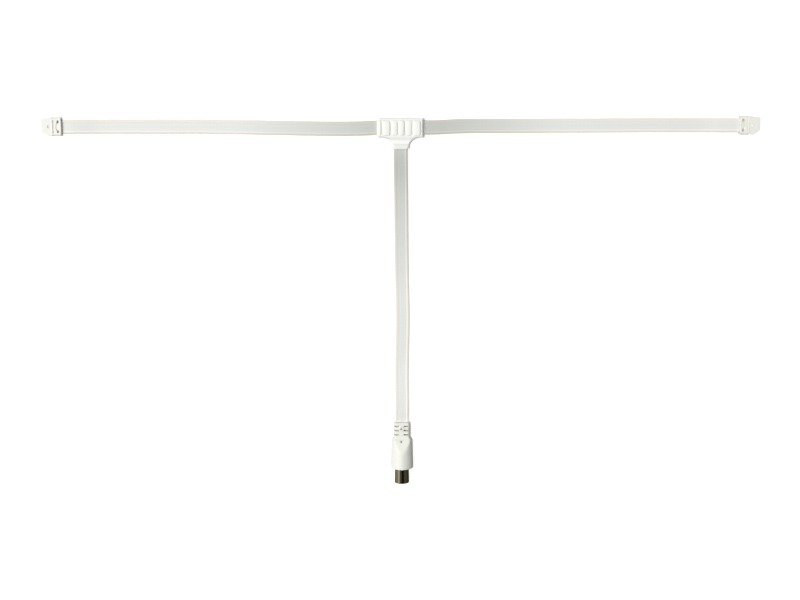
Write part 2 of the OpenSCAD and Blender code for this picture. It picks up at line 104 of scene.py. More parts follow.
def round_over(depth: np.ndarray, width: float, drop: float) -> np.ndarray:
    """Draws a rounded edge.

    Args:
        depth: Distances in from the edge.
        width: How far the rounding reaches in.
        drop: How far the edge lies below the face.

    Returns:
        The drop at each distance.
    """
    t = 1 - np.clip(depth / width, 0, 1)
    return drop * (1 - np.sqrt(np.clip(1 - t * t, 0, 1)))


def mesh_object(name: str, verts: np.ndarray, faces: list[tuple[int, ...]]) -> bpy.types.Object:
    """Makes a smooth-shaded mesh object at the origin and links it to the scene.

    Args:
        name: Name of the piece.
        verts: Corner places in metres, one row each.
        faces: Corner numbers of each face, anticlockwise from outside.

    Returns:
        The new object.
    """
    mesh = bpy.data.meshes.new(name)
    mesh.from_pydata([tuple(map(float, v)) for v in verts], [], faces)
    mesh.validate()
    mesh.shade_smooth()
    obj = bpy.data.objects.new(name, mesh)
    bpy.context.scene.collection.objects.link(obj)
    return obj


def rings_to_mesh(name: str, rings: np.ndarray, close_ends: bool = True) -> bpy.types.Object:
    """Skins a stack of rings that all have the same number of corners.

    Args:
        name: Name of the piece.
        rings: Array of shape (rings, corners, 3), in metres.
        close_ends: Whether the first and the last ring are closed with a face.

    Returns:
        The new object.
    """
    count, n = rings.shape[:2]
    faces = [
        (i * n + j, i * n + (j + 1) % n, (i + 1) * n + (j + 1) % n, (i + 1) * n + j)
        for i in range(count - 1) for j in range(n)
    ]
    if close_ends:
        faces.append(tuple(range(n - 1, -1, -1)))
        faces.append(tuple((count - 1) * n + j for j in range(n)))
    obj = mesh_object(name, rings.reshape(-1, 3), faces)
    face_outwards(obj)
    return obj


def face_outwards(obj: bpy.types.Object) -> None:
    """Merges doubled corners and turns every face of a closed mesh outwards.

    Args:
        obj: The piece.
    """
    bm = bmesh.new()
    bm.from_mesh(obj.data)
    bmesh.ops.remove_doubles(bm, verts=bm.verts, dist=MERGE_M)
    bmesh.ops.recalc_face_normals(bm, faces=bm.faces)
    bm.to_mesh(obj.data)
    bm.free()


def crease(obj: bpy.types.Object, degrees: float) -> None:
    """Shades a piece smooth, apart from edges sharper than an angle."""
    obj.data.shade_smooth()
    obj.data.set_sharp_from_angle(angle=math.radians(degrees))


def settle(obj: bpy.types.Object) -> None:
    """Works a piece's modifiers into its mesh and takes them off.

    Args:
        obj: The piece.
    """
    graph = bpy.context.evaluated_depsgraph_get()
    mesh = bpy.data.meshes.new_from_object(
        obj.evaluated_get(graph), preserve_all_data_layers=True, depsgraph=graph)
    obj.modifiers.clear()
    obj.data = mesh


def dress(obj: bpy.types.Object, material: bpy.types.Material) -> None:
    """Gives a piece its one material and the body that it rides on.

    Args:
        obj: The piece.
        material: Its material.
    """
    obj.data.materials.clear()
    obj.data.materials.append(material)
    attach(obj, BODY)
    log.info("%s: %d faces, finish %s", obj.name, len(obj.data.polygons), material.name)


class NodeSheet:
    """A node tree under construction."""

    def __init__(self, tree: bpy.types.NodeTree) -> None:
        """Takes the tree that the nodes go into."""
        self.tree = tree

    def add(self, kind: str, inputs: dict[int | str, object] | tuple[object, ...] = (), out: int | str = 0,
            **settings: object) -> bpy.types.NodeSocket:
        """Adds one node with its settings and links.

        Args:
            kind: The node's type.
            inputs: Values or other nodes' outputs, by the input's name or number, or in order from the first.
            out: Name or number of the output that is wanted.
            **settings: Properties to set on the node.

        Returns:
            That output.
        """
        node = self.tree.nodes.new(kind)
        for key, value in settings.items():
            setattr(node, key, value)
        self.feed(node, inputs)
        return node.outputs[out]

    def feed(self, node: bpy.types.Node, inputs: dict[int | str, object] | tuple[object, ...]) -> None:
        """Gives a node's inputs their values and links.

        Args:
            node: The node.
            inputs: Values or other nodes' outputs, by the input's name or number, or in order from the first.
        """
        for key, value in inputs.items() if isinstance(inputs, dict) else enumerate(inputs):
            if isinstance(value, bpy.types.NodeSocket):
                self.tree.links.new(value, node.inputs[key])
            else:
                node.inputs[key].default_value = value

    def straight_rays(self) -> bpy.types.NodeSocket:
        """Tells the rays that show a surface, straight or in metal or glass, from those that light things.

        Returns:
            1 for a ray that shows the surface, and 0 for one that lights things.
        """
        rays = self.add("ShaderNodeLightPath").node.outputs
        mirrored = self.add(MATH, (rays["Is Glossy Ray"], rays["Is Transmission Ray"]), operation="MAXIMUM")
        return self.add(MATH, (rays["Is Camera Ray"], mirrored), operation="MAXIMUM")


class ShapeSheet(NodeSheet):
    """A Geometry Nodes tree under construction, with named inputs for its sizes in metres."""

    def __init__(self, name: str) -> None:
        """Makes the tree with its way in and its way out.

        Args:
            name: The tree's name.
        """
        super().__init__(bpy.data.node_groups.new(name, "GeometryNodeTree"))
        for way in ("INPUT", "OUTPUT"):
            self.tree.interface.new_socket("Geometry", in_out=way, socket_type="NodeSocketGeometry")
        self.entry = self.tree.nodes.new("NodeGroupInput")
        self.values: dict[str, float | int] = {}

    def size(self, name: str, value: float | int) -> bpy.types.NodeSocket:
        """Adds one named input.

        Args:
            name: Its name.
            value: What it will be given, a whole number for a count and metres for a length.

        Returns:
            The socket that gives it inside the tree.
        """
        kind = "NodeSocketInt" if isinstance(value, int) else "NodeSocketFloat"
        item = self.tree.interface.new_socket(name, in_out="INPUT", socket_type=kind)
        self.values[item.identifier] = value
        return self.entry.outputs[name]

    def pillow(self, halves: bpy.types.NodeSocket, squareness: bpy.types.NodeSocket,
               cuts: tuple[int, int, int]) -> bpy.types.NodeSocket:
        """Makes a block whose faces are crowned and whose edges are rounded.

        Args:
            halves: Half its size along each axis.
            squareness: From 2, an ellipsoid, towards a sharp block.
            cuts: Number of corners along each axis.

        Returns:
            The block's shape, centred on the origin.
        """
        block = self.add("GeometryNodeMeshCube", {
            "Size": (2.0, 2.0, 2.0), "Vertices X": cuts[0], "Vertices Y": cuts[1], "Vertices Z": cuts[2],
        })
        place = self.add("GeometryNodeInputPosition")
        powers = []
        for value in self.add("ShaderNodeSeparateXYZ", (place,)).node.outputs:
            distance = self.add(MATH, (value,), operation="ABSOLUTE")
            powers.append(self.add(MATH, (distance, squareness), operation="POWER"))
        total = self.add(MATH, (powers[0], powers[1]), operation="ADD")
        total = self.add(MATH, (total, powers[2]), operation="ADD")
        root = self.add(MATH, (-1.0, squareness), operation="DIVIDE")
        shrink = self.add(MATH, (total, root), operation="POWER")
        unit = self.add("ShaderNodeVectorMath", {0: place, "Scale": shrink}, operation="SCALE")
        sized = self.add("ShaderNodeVectorMath", (unit, halves), operation="MULTIPLY")
        return self.add("GeometryNodeSetPosition", {"Geometry": block, "Position": sized})

    def run(self, obj: bpy.types.Object, shape: bpy.types.NodeSocket, material: bpy.types.Material) -> None:
        """Ends the tree, runs it on a piece and keeps the plain mesh that comes out.

        Args:
            obj: The piece, which also is what the tree's way in gives.
            shape: What the tree ends in.
            material: The finish that the tree sets.
        """
        real = self.add("GeometryNodeRealizeInstances", {"Geometry": shape})
        smooth = self.add("GeometryNodeSetShadeSmooth", {"Geometry": real})
        painted = self.add("GeometryNodeSetMaterial", {"Geometry": smooth, "Material": material})
        self.feed(self.tree.nodes.new("NodeGroupOutput"), (painted,))
        modifier = obj.modifiers.new(self.tree.name, "NODES")
        modifier.node_group = self.tree
        for identifier, value in self.values.items():
            modifier[identifier] = value
        settle(obj)


class ShaderSheet(NodeSheet):
    """A material under construction: one node tree with a Principled shader at its end."""

    def __init__(self, name: str) -> None:
        """Makes the material and finds its shader.

        Args:
            name: The material's name.
        """
        self.material = bpy.data.materials.new(name)
        self.material.use_nodes = True
        super().__init__(self.material.node_tree)
        self.shader = self.tree.nodes["Principled BSDF"]

    def set(self, **values: object) -> None:
        """Feeds the shader's inputs, with spaces in their names written as underscores."""
        self.feed(self.shader, {key.replace("_", " "): value for key, value in values.items()})


# Finishes


@dataclass(frozen=True)
class MouldedVinyl:
    """Soft white PVC out of an eroded steel mould, with painted shade in its grooves, slots and other recesses."""

    # To the eye: a soft satin sheen without sharp reflection, faint flow mottle, and painted shade in grooves and
    # slots.
    name: str = "moulded_white_vinyl"
    colour: str = "F4F4EC"
    shade: str = "EEEFE6"
    shade_most: float = 0.8
    flow_mm: float = 6.25
    # The mould's real grain is near 0.05 mm, and is drawn this coarse so that it shows.
    grain_mm: float = 0.3125
    grain_depth_mm: float = 0.03
    grain_strength: float = 0.12
    rough_low: float = 0.36
    rough_high: float = 0.5
    gloss: float = 0.4
    # Painted shade: the colour goes darker where the surface sees little of the room within the reach, as in recesses.
    recess_shade: str = "A8A698"
    recess_shade_reach_mm: float = 1.3
    recess_shade_starts_at: float = 0.75
    recess_shade_full_at: float = 0.3
    recess_shade_most: float = 0.68
    recess_shade_samples: int = 8

    def make(self) -> bpy.types.Material:
        """Builds the material.

        Returns:
            The material.
        """
        sheet = ShaderSheet(self.name)
        place = sheet.add("ShaderNodeTexCoord", out="Object")
        flow = sheet.add(NOISE, {"Vector": place, "Scale": per_metre(self.flow_mm), "Detail": 4.0})
        grain = sheet.add(NOISE, {"Vector": place, "Scale": per_metre(self.grain_mm), "Detail": 2.0})
        shaded = sheet.add(RANGE, {"Value": flow, "To Min": 0.0, "To Max": self.shade_most})
        clean = sheet.add(MIX, {
            MIX_SHARE: shaded, MIX_A: linear(self.colour), MIX_B: linear(self.shade),
        }, MIX_OUT, data_type="RGBA")
        # Painted shade from ambient occlusion, mixed into the base colour of grooves, slots and hollows.
        openness = sheet.add("ShaderNodeAmbientOcclusion", {"Distance": self.recess_shade_reach_mm * MM}, "AO",
                             samples=self.recess_shade_samples)
        recess_shaded = sheet.add(RANGE, {
            "Value": openness, "From Min": self.recess_shade_starts_at, "From Max": self.recess_shade_full_at,
            "To Min": 0.0, "To Max": self.recess_shade_most,
        })
        sheet.set(
            Base_Color=sheet.add(MIX, {
                MIX_SHARE: recess_shaded, MIX_A: clean, MIX_B: linear(self.recess_shade),
            }, MIX_OUT, data_type="RGBA"),
            Roughness=sheet.add(RANGE, {"Value": grain, "To Min": self.rough_low, "To Max": self.rough_high}),
            Specular_IOR_Level=self.gloss,
            Normal=sheet.add("ShaderNodeBump", {
                "Height": grain, "Strength": self.grain_strength, "Distance": self.grain_depth_mm * MM,
            }),
        )
        return sheet.material


@dataclass(frozen=True)
class MilkyRibbon:
    """Extruded twin lead of milky polyethylene over two stranded copper conductors.

    It reads the piece's own map, whose first value runs across the ribbon from 0 to 1, and whose second is the
    distance from the tee in metres.
    """

    # To the eye: a dull grey web between two paler beads, with a faint warm line where the copper shows through,
    # fine streaks of the extrusion along it, and painted shade that greys it beside the tee.
    name: str = "milky_polyethylene_over_copper"
    web: str = "EAECE8"
    line: str = "E5E8E4"
    lip: str = "F6F4EC"
    copper: str = "EFE8DB"
    edge: str = "F8F3EA"
    # Painted shade: the colour is multiplied greyer near the tee, fully up to the first reach and fading out by the
    # end.
    tee_shade: str = "D9DBD8"
    tee_shade_full_mm: float = 20.0
    tee_shade_end_mm: float = 115.0
    width_mm: float = 10.0
    streak_w_mm: float = 0.1852
    streak_l_mm: float = 166.67
    streak_low: float = 0.965
    streak_high: float = 1.03
    streak_depth_mm: float = 0.05
    streak_strength: float = 0.15
    # Seven strands with a lay of about 18 mm, so that one passes at this spacing.
    strand_mm: float = 2.618
    strand_tone: float = 0.004
    rough: float = 0.5

    def bands(self) -> tuple[tuple[float, str], ...]:
        """Lists the colours across the ribbon, each with its place from the middle line, 0, to the edge, 1."""
        return (
            (0.0, self.web), (0.10, self.line), (0.20, self.web), (0.40, self.web), (0.47, self.line),
            (0.54, self.web), (0.62, self.lip), (0.70, self.lip),
            (0.77, self.copper), (0.86, self.copper), (0.93, self.edge), (1.0, self.edge),
        )

    def make(self) -> bpy.types.Material:
        """Builds the material.

        Returns:
            The material.
        """
        sheet = ShaderSheet(self.name)
        lay = sheet.add("ShaderNodeUVMap", uv_map="lay")
        across, along = sheet.add("ShaderNodeSeparateXYZ", (lay,)).node.outputs[:2]
        doubled = sheet.add(MATH, (across, 2.0, -1.0), operation="MULTIPLY_ADD")
        from_middle = sheet.add(MATH, (doubled,), operation="ABSOLUTE")
        banded = sheet.add("ShaderNodeValToRGB", (from_middle,))
        ramp = banded.node.color_ramp
        stops = self.bands()
        for element, (place, colour) in zip(ramp.elements, (stops[0], stops[-1])):
            element.position = place
            element.color = linear(colour)
        for place, colour in stops[1:-1]:
            ramp.elements.new(place).color = linear(colour)
        # How much of the painted shade near the tee each point takes
        near = sheet.add(RANGE, {
            "Value": along, "From Min": self.tee_shade_full_mm * MM, "From Max": self.tee_shade_end_mm * MM,
            "To Min": 1.0, "To Max": 0.0,
        })
        bands_with_tee_shade = sheet.add(MIX, {
            MIX_SHARE: near, MIX_A: banded, MIX_B: linear(self.tee_shade),
        }, MIX_OUT, data_type="RGBA", blend_type="MULTIPLY")
        streaks = sheet.add(NOISE, {
            "Vector": sheet.add(XYZ, (
                sheet.add(MATH, (across, self.width_mm / self.streak_w_mm), operation="MULTIPLY"),
                sheet.add(MATH, (along, per_metre(self.streak_l_mm)), operation="MULTIPLY"),
            )),
            "Scale": 1.0, "Detail": 4.0,
        })
        turns = sheet.add(MATH, (along, 2 * math.pi * per_metre(self.strand_mm)), operation="MULTIPLY")
        strands = sheet.add(MATH, (turns,), operation="SINE")
        streaked = sheet.add(RANGE, {"Value": streaks, "To Min": self.streak_low, "To Max": self.streak_high})
        tone = sheet.add(MATH, (strands, self.strand_tone, streaked), operation="MULTIPLY_ADD")
        sheet.set(
            Base_Color=sheet.add(MIX, {
                MIX_SHARE: 1.0, MIX_A: bands_with_tee_shade, MIX_B: sheet.add("ShaderNodeCombineColor", (tone, tone, tone)),
            }, MIX_OUT, data_type="RGBA", blend_type="MULTIPLY"),
            Roughness=self.rough,
            Normal=sheet.add("ShaderNodeBump", {
                "Height": streaks, "Strength": self.streak_strength, "Distance": self.streak_depth_mm * MM,
            }),
        )
        return sheet.material


@dataclass(frozen=True)
class DarkNickel:
    """Dark bright-nickel plate on a turned brass tube."""

    # To the eye: a dark brownish mirror, softened round the tube by hairline turning marks, a little duller in places.
    name: str = "dark_nickel_plate"
    colour: str = "706C5C"
    worn: str = "5E5A4A"
    worn_most: float = 0.4
    rim_tint: str = "6A675C"
    wear_mm: float = 2.381
    # Real turning marks are near 0.05 mm apart, and are drawn this coarse so that they show.
    mark_mm: float = 0.16667
    mark_l_mm: float = 33.333
    mark_depth_mm: float = 0.02
    mark_strength: float = 0.08
    rough_low: float = 0.1
    rough_high: float = 0.18

    def make(self) -> bpy.types.Material:
        """Builds the material.

        Returns:
            The material.
        """
        sheet = ShaderSheet(self.name)
        place = sheet.add("ShaderNodeTexCoord", out="Object")
        stretch = (per_metre(self.mark_l_mm), per_metre(self.mark_mm), per_metre(self.mark_l_mm))
        rings = sheet.add("ShaderNodeMapping", {"Vector": place, "Scale": stretch})
        marks = sheet.add(NOISE, {"Vector": rings, "Scale": 1.0, "Detail": 3.0})
        wear = sheet.add(NOISE, {"Vector": place, "Scale": per_metre(self.wear_mm), "Detail": 4.0})
        worn = sheet.add(RANGE, {"Value": wear, "To Min": 0.0, "To Max": self.worn_most})
        sheet.set(
            Base_Color=sheet.add(MIX, {
                MIX_SHARE: worn, MIX_A: linear(self.colour), MIX_B: linear(self.worn),
            }, MIX_OUT, data_type="RGBA"),
            Metallic=1.0,
            Specular_Tint=linear(self.rim_tint),
            Roughness=sheet.add(RANGE, {"Value": marks, "To Min": self.rough_low, "To Max": self.rough_high}),
            Normal=sheet.add("ShaderNodeBump", {
                "Height": marks, "Strength": self.mark_strength, "Distance": self.mark_depth_mm * MM,
            }),
        )
        return sheet.material


@dataclass(frozen=True)
class CloudedFinish:
    """What the finishes of the inner parts share: two tones and a roughness that follow one fine pattern."""

    name: str
    colour: str
    cloud: str
    cloud_mm: float
    cloud_detail: float
    rough_low: float
    rough_high: float
    metallic: float = 0.0
    bump_strength: float = 0.0
    bump_depth_mm: float = 0.04

    def make(self) -> bpy.types.Material:
        """Builds the material.

        Returns:
            The material.
        """
        sheet = ShaderSheet(self.name)
        clouds = sheet.add(NOISE, {
            "Vector": sheet.add("ShaderNodeTexCoord", out="Object"),
            "Scale": per_metre(self.cloud_mm), "Detail": self.cloud_detail,
        })
        sheet.set(
            Base_Color=sheet.add(MIX, {
                MIX_SHARE: clouds, MIX_A: linear(self.colour), MIX_B: linear(self.cloud),
            }, MIX_OUT, data_type="RGBA"),
            Metallic=self.metallic,
            Roughness=sheet.add(RANGE, {"Value": clouds, "To Min": self.rough_low, "To Max": self.rough_high}),
        )
        if self.bump_strength:
            sheet.set(Normal=sheet.add("ShaderNodeBump", {
                "Height": clouds, "Strength": self.bump_strength, "Distance": self.bump_depth_mm * MM,
            }))
        return sheet.material


@dataclass(frozen=True)
class BareCopper(CloudedFinish):
    """Bare drawn copper wire, slightly browned by the air."""

    # To the eye: a warm pinkish metal with browner clouds.
    name: str = "bare_copper_wire"
    colour: str = "C98A63"
    cloud: str = "A86A48"
    cloud_mm: float = 1.1111
    cloud_detail: float = 3.0
    rough_low: float = 0.28
    rough_high: float = 0.42
    metallic: float = 1.0


@dataclass(frozen=True)
class TinSolder(CloudedFinish):
    """Bright tin solder that has flowed round a joint and set."""

    # To the eye: a bright grey metal with a slight ripple.
    name: str = "tin_solder"
    colour: str = "C9CACB"
    cloud: str = "A9AAAC"
    cloud_mm: float = 0.66667
    cloud_detail: float = 2.0
    rough_low: float = 0.2
    rough_high: float = 0.36
    metallic: float = 1.0
    bump_strength: float = 0.2


@dataclass(frozen=True)
class NaturalPolyethylene(CloudedFinish):
    """Natural white polyethylene, turned from a rod."""

    # To the eye: a waxy off-white, duller than the mouldings.
    name: str = "natural_polyethylene"
    colour: str = "ECECE6"
    cloud: str = "E0E0D8"
    cloud_mm: float = 2.0
    cloud_detail: float = 3.0
    rough_low: float = 0.4
    rough_high: float = 0.52


@dataclass(frozen=True)
class SinteredFerrite(CloudedFinish):
    """Dark grey ferrite, pressed and sintered."""

    # To the eye: a dull charcoal with a fine pitted skin. The real pits are near 0.05 mm, and are drawn this coarse
    # so that they show.
    name: str = "sintered_ferrite"
    colour: str = "3A3A3C"
    cloud: str = "2A2A2C"
    cloud_mm: float = 0.38462
    cloud_detail: float = 4.0
    rough_low: float = 0.5
    rough_high: float = 0.75
    bump_strength: float = 0.3


# Ribbons


class FarEnd(Enum):
    """What a ribbon ends in."""

    FITTING = "fitting"
    PLUG = "plug"


@dataclass
class FlatRibbon:
    """One run of flat twin lead, swept along its route with its width kept level, in mm."""

    name: str
    route_mm: list[tuple[float, float, float]]
    exit_mm: tuple[float, float, float]
    far_end: FarEnd
    cad_node: str
    carried: list[str]
    width: float = 10.0
    bead_r: float = 1.1
    bead_t: float = 1.15
    bead_points: int = 13
    web_t: float = 0.8
    web_points: int = 6
    fillet_power: float = 4.0
    steps: int = 5

    def section(self) -> np.ndarray:
        """Draws the dumbbell section.

        Returns:
            Its closed outline, anticlockwise, as (across, up) points in millimetres.
        """
        half = self.width / 2
        centre = half - self.bead_r
        bead = [centre + self.bead_r * math.cos(a) for a in np.linspace(0, math.pi, self.bead_points)]
        web = list(np.linspace(centre - self.bead_r, 0, self.web_points))[1:]
        right = np.array(bead + web)
        top = np.concatenate([right, -right[:-1][::-1]])
        rise = np.sqrt(np.clip(self.bead_r ** 2 - (np.abs(top) - centre) ** 2, 0, None))
        rise = rise * self.bead_t / (2 * self.bead_r)
        joined = (rise ** self.fillet_power + (self.web_t / 2) ** self.fillet_power) ** (1 / self.fillet_power)
        height = np.where(np.abs(top) < centre, joined, rise)
        upper = np.stack([top, height], 1)
        lower = np.stack([top[1:-1][::-1], -height[1:-1][::-1]], 1)
        return np.concatenate([upper, lower])

    def centreline(self) -> np.ndarray:
        """Rounds the route off through its points.

        Returns:
            The points of the smooth line, in millimetres.
        """
        pts = np.array(self.route_mm, float)
        ends = np.concatenate([[2 * pts[0] - pts[1]], pts, [2 * pts[-1] - pts[-2]]])
        out = []
        for i in range(len(pts) - 1):
            p0, p1, p2, p3 = ends[i:i + 4]
            for t in np.arange(self.steps) / self.steps:
                out.append(0.5 * (2 * p1 + (p2 - p0) * t + (2 * p0 - 5 * p1 + 4 * p2 - p3) * t ** 2
                                  + (3 * p1 - p0 - 3 * p2 + p3) * t ** 3))
        return np.array(out + [pts[-1]])

    def build(self) -> bpy.types.Object:
        """Sweeps the section and maps it.

        Returns:
            The ribbon's object.
        """
        line = self.centreline()
        section = self.section()
        along = np.gradient(line, axis=0)
        along /= np.linalg.norm(along, axis=1)[:, None]
        side = np.cross([0.0, 0.0, 1.0], along)
        side /= np.linalg.norm(side, axis=1)[:, None]
        up = np.cross(along, side)
        across_by = side[:, None, :] * section[None, :, :1]
        up_by = up[:, None, :] * section[None, :, 1:]
        obj = rings_to_mesh(self.name, (line[:, None, :] + across_by + up_by) * MM)
        self.map_lay(obj, line, section)
        return obj

    def map_lay(self, obj: bpy.types.Object, line: np.ndarray, section: np.ndarray) -> None:
        """Writes the map that the ribbon's material reads: across, then metres along from the tee.

        Args:
            obj: The ribbon's object.
            line: The centreline's points.
            section: The section's points.
        """
        n = len(section)
        run = np.concatenate([[0], np.cumsum(np.linalg.norm(np.diff(line, axis=0), axis=1))]) * MM
        layer = obj.data.uv_layers.new(name="lay")
        loops = np.zeros(len(obj.data.loops), np.int32)
        obj.data.loops.foreach_get("vertex_index", loops)
        across = section[loops % n, 0] / self.width + 0.5
        values = np.stack([across, run[np.minimum(loops // n, len(run) - 1)]], 1)
        layer.data.foreach_set("uv", values.astype(np.float32).ravel())

    def length(self) -> float:
        """Length of the centreline in metres."""
        return float(np.linalg.norm(np.diff(self.centreline(), axis=0), axis=1).sum()) * MM

    def declare(self, obj: bpy.types.Object, material: bpy.types.Material) -> None:
        """Dresses the ribbon and hides the CAD node that it stands for.

        Args:
            obj: The ribbon's object.
            material: Its finish.
        """
        dress(obj, material)
        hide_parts(self.cad_node)


# The ribbons' routes, the same as in the part's source
ARM_LEFT_MM = [
    (0, 0, 3.6), (-8, 0, 3.6), (-17, -0.2, 3.6), (-25, -0.6, 3.5), (-33, -0.8, 3.1), (-44, -0.9, 2.5),
    (-58, -0.8, 1.9), (-74, -0.6, 1.4), (-90, -0.3, 1.2), (-106, 0, 1.2), (-122, 0.2, 1.2), (-138, 0.5, 1.2),
    (-154, 0.5, 1.2), (-170, 0.5, 1.2), (-186, 0.5, 1.2), (-202, 0.5, 1.2), (-212, 0.5, 1.4), (-221, 0.5, 2.1),
    (-229, 0.5, 2.6), (-235, 0.5, 2.6), (-240.5, 0.5, 2.6),
]
ARM_RIGHT_MM = [
    (0, 0, 3.6), (8, 0, 3.6), (17, 0, 3.6), (25, 0.1, 3.5), (33, 0.5, 3.1), (44, 0.9, 2.5),
    (58, 1, 1.9), (74, 1, 1.4), (90, 1, 1.2), (106, 1.2, 1.2), (122, 1.2, 1.2), (138, 1.3, 1.2),
    (154, 1.4, 1.2), (170, 1.5, 1.2), (186, 1.5, 1.2), (202, 1.5, 1.2), (212, 1.5, 1.4), (221, 1.5, 2.1),
    (229, 1.5, 2.6), (235, 1.5, 2.6), (240.5, 1.5, 2.6),
]
FEEDER_MM = [
    (0, -6.6, 3.6), (0, -14, 3.6), (0, -20, 3.6), (0.1, -28, 2.9), (0.2, -37, 1.7), (0.4, -48, 1.2),
    (0.5, -62, 1.2), (0.6, -76, 1.2), (0.7, -90, 1.2), (0.9, -104, 1.2), (1.2, -118, 1.2), (1.5, -132, 1.2),
    (1.4, -146, 1.2), (1.1, -158, 1.3), (0.9, -168, 1.9), (0.8, -177, 3.5), (0.9, -186, 5.6), (1, -195, 7.4),
    (1, -203, 8.2), (1, -209, 8.2), (1, -218, 8.2),
]


# Tee cover


@dataclass
class TeeCover:
    """White tee over the joint of the arms and the feeder: a block with a flared neck and finger ribs, in mm."""

    half_w: float = 16.75
    half_h: float = 7.0
    upper_h: float = 6.5
    corner_r: float = 1.1
    neck_half: float = 6.1
    neck_l: float = 7.8
    neck_corner_r: float = 1.0
    flare_w: float = 8.6
    flare_l: float = 6.0
    edge_w: float = 1.7
    edge_drop: float = 1.7
    neck_edge_w: float = 1.6
    neck_edge_drop: float = 2.7
    neck_run: float = 1.5
    neck_shift: float = 0.45
    neck_base: float = 0.9
    base_from: float = -7.6
    base_to: float = -6.8
    foot: float = 0.8
    panel_half: float = 5.0
    panel_edge: float = 0.4
    panel_y: float = -0.1
    panel_dip: float = 0.45
    spine: tuple[tuple[float, float], ...] = (
        (-14.8, 5.4), (-12.1, 5.9), (-11.5, 6.5), (-9.6, 6.2), (-8.9, 5.95), (-6.6, 6.7), (7.0, 6.85),
    )
    spine_soft: float = 0.3
    end_bevel_w: float = 1.7
    end_bevel_drop: float = 2.6
    columns: int = 75
    column_crowding: float = 0.45
    row_nudge: float = 0.001
    rib_count: int = 7
    rib_pitch: float = 5.3
    rib_gap: float = 0.7
    rib_l: float = 10.5
    rib_x: float = 0.55
    rib_y: float = -0.6
    rib_crown: float = 0.16
    rib_base: float = 5.6
    rib_top: float = 7.3
    rib_reach: float = 15.2
    rib_squareness: float = 6.0
    rib_low: float = 0.22
    rib_cuts: tuple[int, int, int] = (17, 25, 9)
    spread_middle: float = 0.881
    spread_growth: float = 0.000872

    def rows(self) -> np.ndarray:
        """Chooses the rows of the loft, close together where the outline turns.

        Returns:
            Their places along Y.
        """
        r, h, n = self.corner_r, self.half_h, self.neck_corner_r
        end = -h - self.neck_l
        corner = 1 - np.sqrt(1 - np.linspace(0, 1, 9) ** 2)
        parts = [
            end + n * corner,
            np.linspace(end + n, -h - self.flare_l, 4),
            -h - self.flare_l + self.flare_l * np.sin(np.linspace(0, math.pi / 2, 28)),
            -h + self.row_nudge + r * corner,
            np.linspace(r - h, self.upper_h - r, 40),
            self.upper_h - r + r * np.sin(np.linspace(0, math.pi / 2, 9)),
        ]
        return np.unique(np.round(np.concatenate(parts), 4))

    def half_width(self, y: np.ndarray) -> np.ndarray:
        """Measures the outline.

        Args:
            y: Places along.

        Returns:
            Half the outline's width at each of them.
        """
        h, r, n = self.half_h, self.corner_r, self.neck_corner_r
        end = -h - self.neck_l
        past = np.where(y > 0, y - (self.upper_h - r), -y - (h - r))
        corner = self.half_w - r + np.sqrt(np.clip(r * r - np.clip(past, 0, r) ** 2, 0, None))
        t = np.clip((y + h + self.flare_l) / self.flare_l, 0, 1)
        flared = self.neck_half + self.flare_w * (1 - np.sqrt(1 - t * t))
        nip = n - np.sqrt(np.clip(n * n - np.clip(end + n - y, 0, n) ** 2, 0, None))
        return np.where(y >= -h, corner, flared - nip)

    def depth_in(self, x: np.ndarray, y: np.ndarray, rows: np.ndarray) -> np.ndarray:
        """Measures how far each point is from the outline.

        Args:
            x: Places across.
            y: Places along.
            rows: The rows that draw the outline.

        Returns:
            The distances.
        """
        side = np.stack([self.half_width(rows), rows], 1)
        line = np.concatenate([side, [[0, rows[-1]]]])
        a, b = line[:-1], line[1:]
        points = np.stack([np.abs(x), y], -1)[..., None, :]
        run = b - a
        t = np.clip(((points - a) * run).sum(-1) / np.maximum((run ** 2).sum(-1), 1e-12), 0, 1)
        return np.linalg.norm(points - (a + t[..., None] * run), axis=-1).min(-1)

    def top(self, y: np.ndarray) -> np.ndarray:
        """Looks up the height of the cover's middle line, with its bends softened and the ribs' bed sunk.

        Args:
            y: Places along.

        Returns:
            The height at each of them.
        """
        knots = np.array(self.spine)
        around = np.linspace(-self.spine_soft, self.spine_soft, 7)
        line = np.mean([np.interp(y + d, knots[:, 0], knots[:, 1]) for d in around], axis=0)
        bed = 1 - smooth_step(self.panel_half - self.panel_edge, self.panel_half, np.abs(y - self.panel_y))
        return line - self.panel_dip * bed

    def cover(self) -> bpy.types.Object:
        """Lofts the moulding, with its edges rounded by their distance from the outline.

        Returns:
            The moulding's object.
        """
        rows = self.rows()
        u = np.linspace(-1, 1, self.columns)
        u = (1 - self.column_crowding) * u + self.column_crowding * np.sin(u * math.pi / 2)
        x = self.half_width(rows)[:, None] * u[None, :]
        y = np.repeat(rows[:, None], len(u), axis=1)
        depth = self.depth_in(x, y, rows)
        depth[:, 0] = depth[:, -1] = depth[-1] = 0
        block = smooth_step(-self.half_h - self.neck_run, -self.half_h + self.neck_run, y)
        width = self.neck_edge_w + (self.edge_w - self.neck_edge_w) * block
        drop = self.neck_edge_drop + (self.edge_drop - self.neck_edge_drop) * block
        bevel = np.clip(1 - (self.half_w - np.abs(x)) / self.end_bevel_w, 0, 1) * self.end_bevel_drop * block
        upper = self.top(y) - np.maximum(round_over(depth, width, drop), bevel)
        base = self.neck_base * (1 - smooth_step(self.base_from, self.base_to, y))
        lower = base + round_over(depth, self.foot, self.foot)
        x = x + self.neck_shift * (1 - block)
        over = np.stack([x, y, upper], -1)
        under = np.stack([x, y, lower], -1)[:, ::-1]
        return rings_to_mesh("tee_moulding", np.concatenate([over, under], axis=1) * MM)

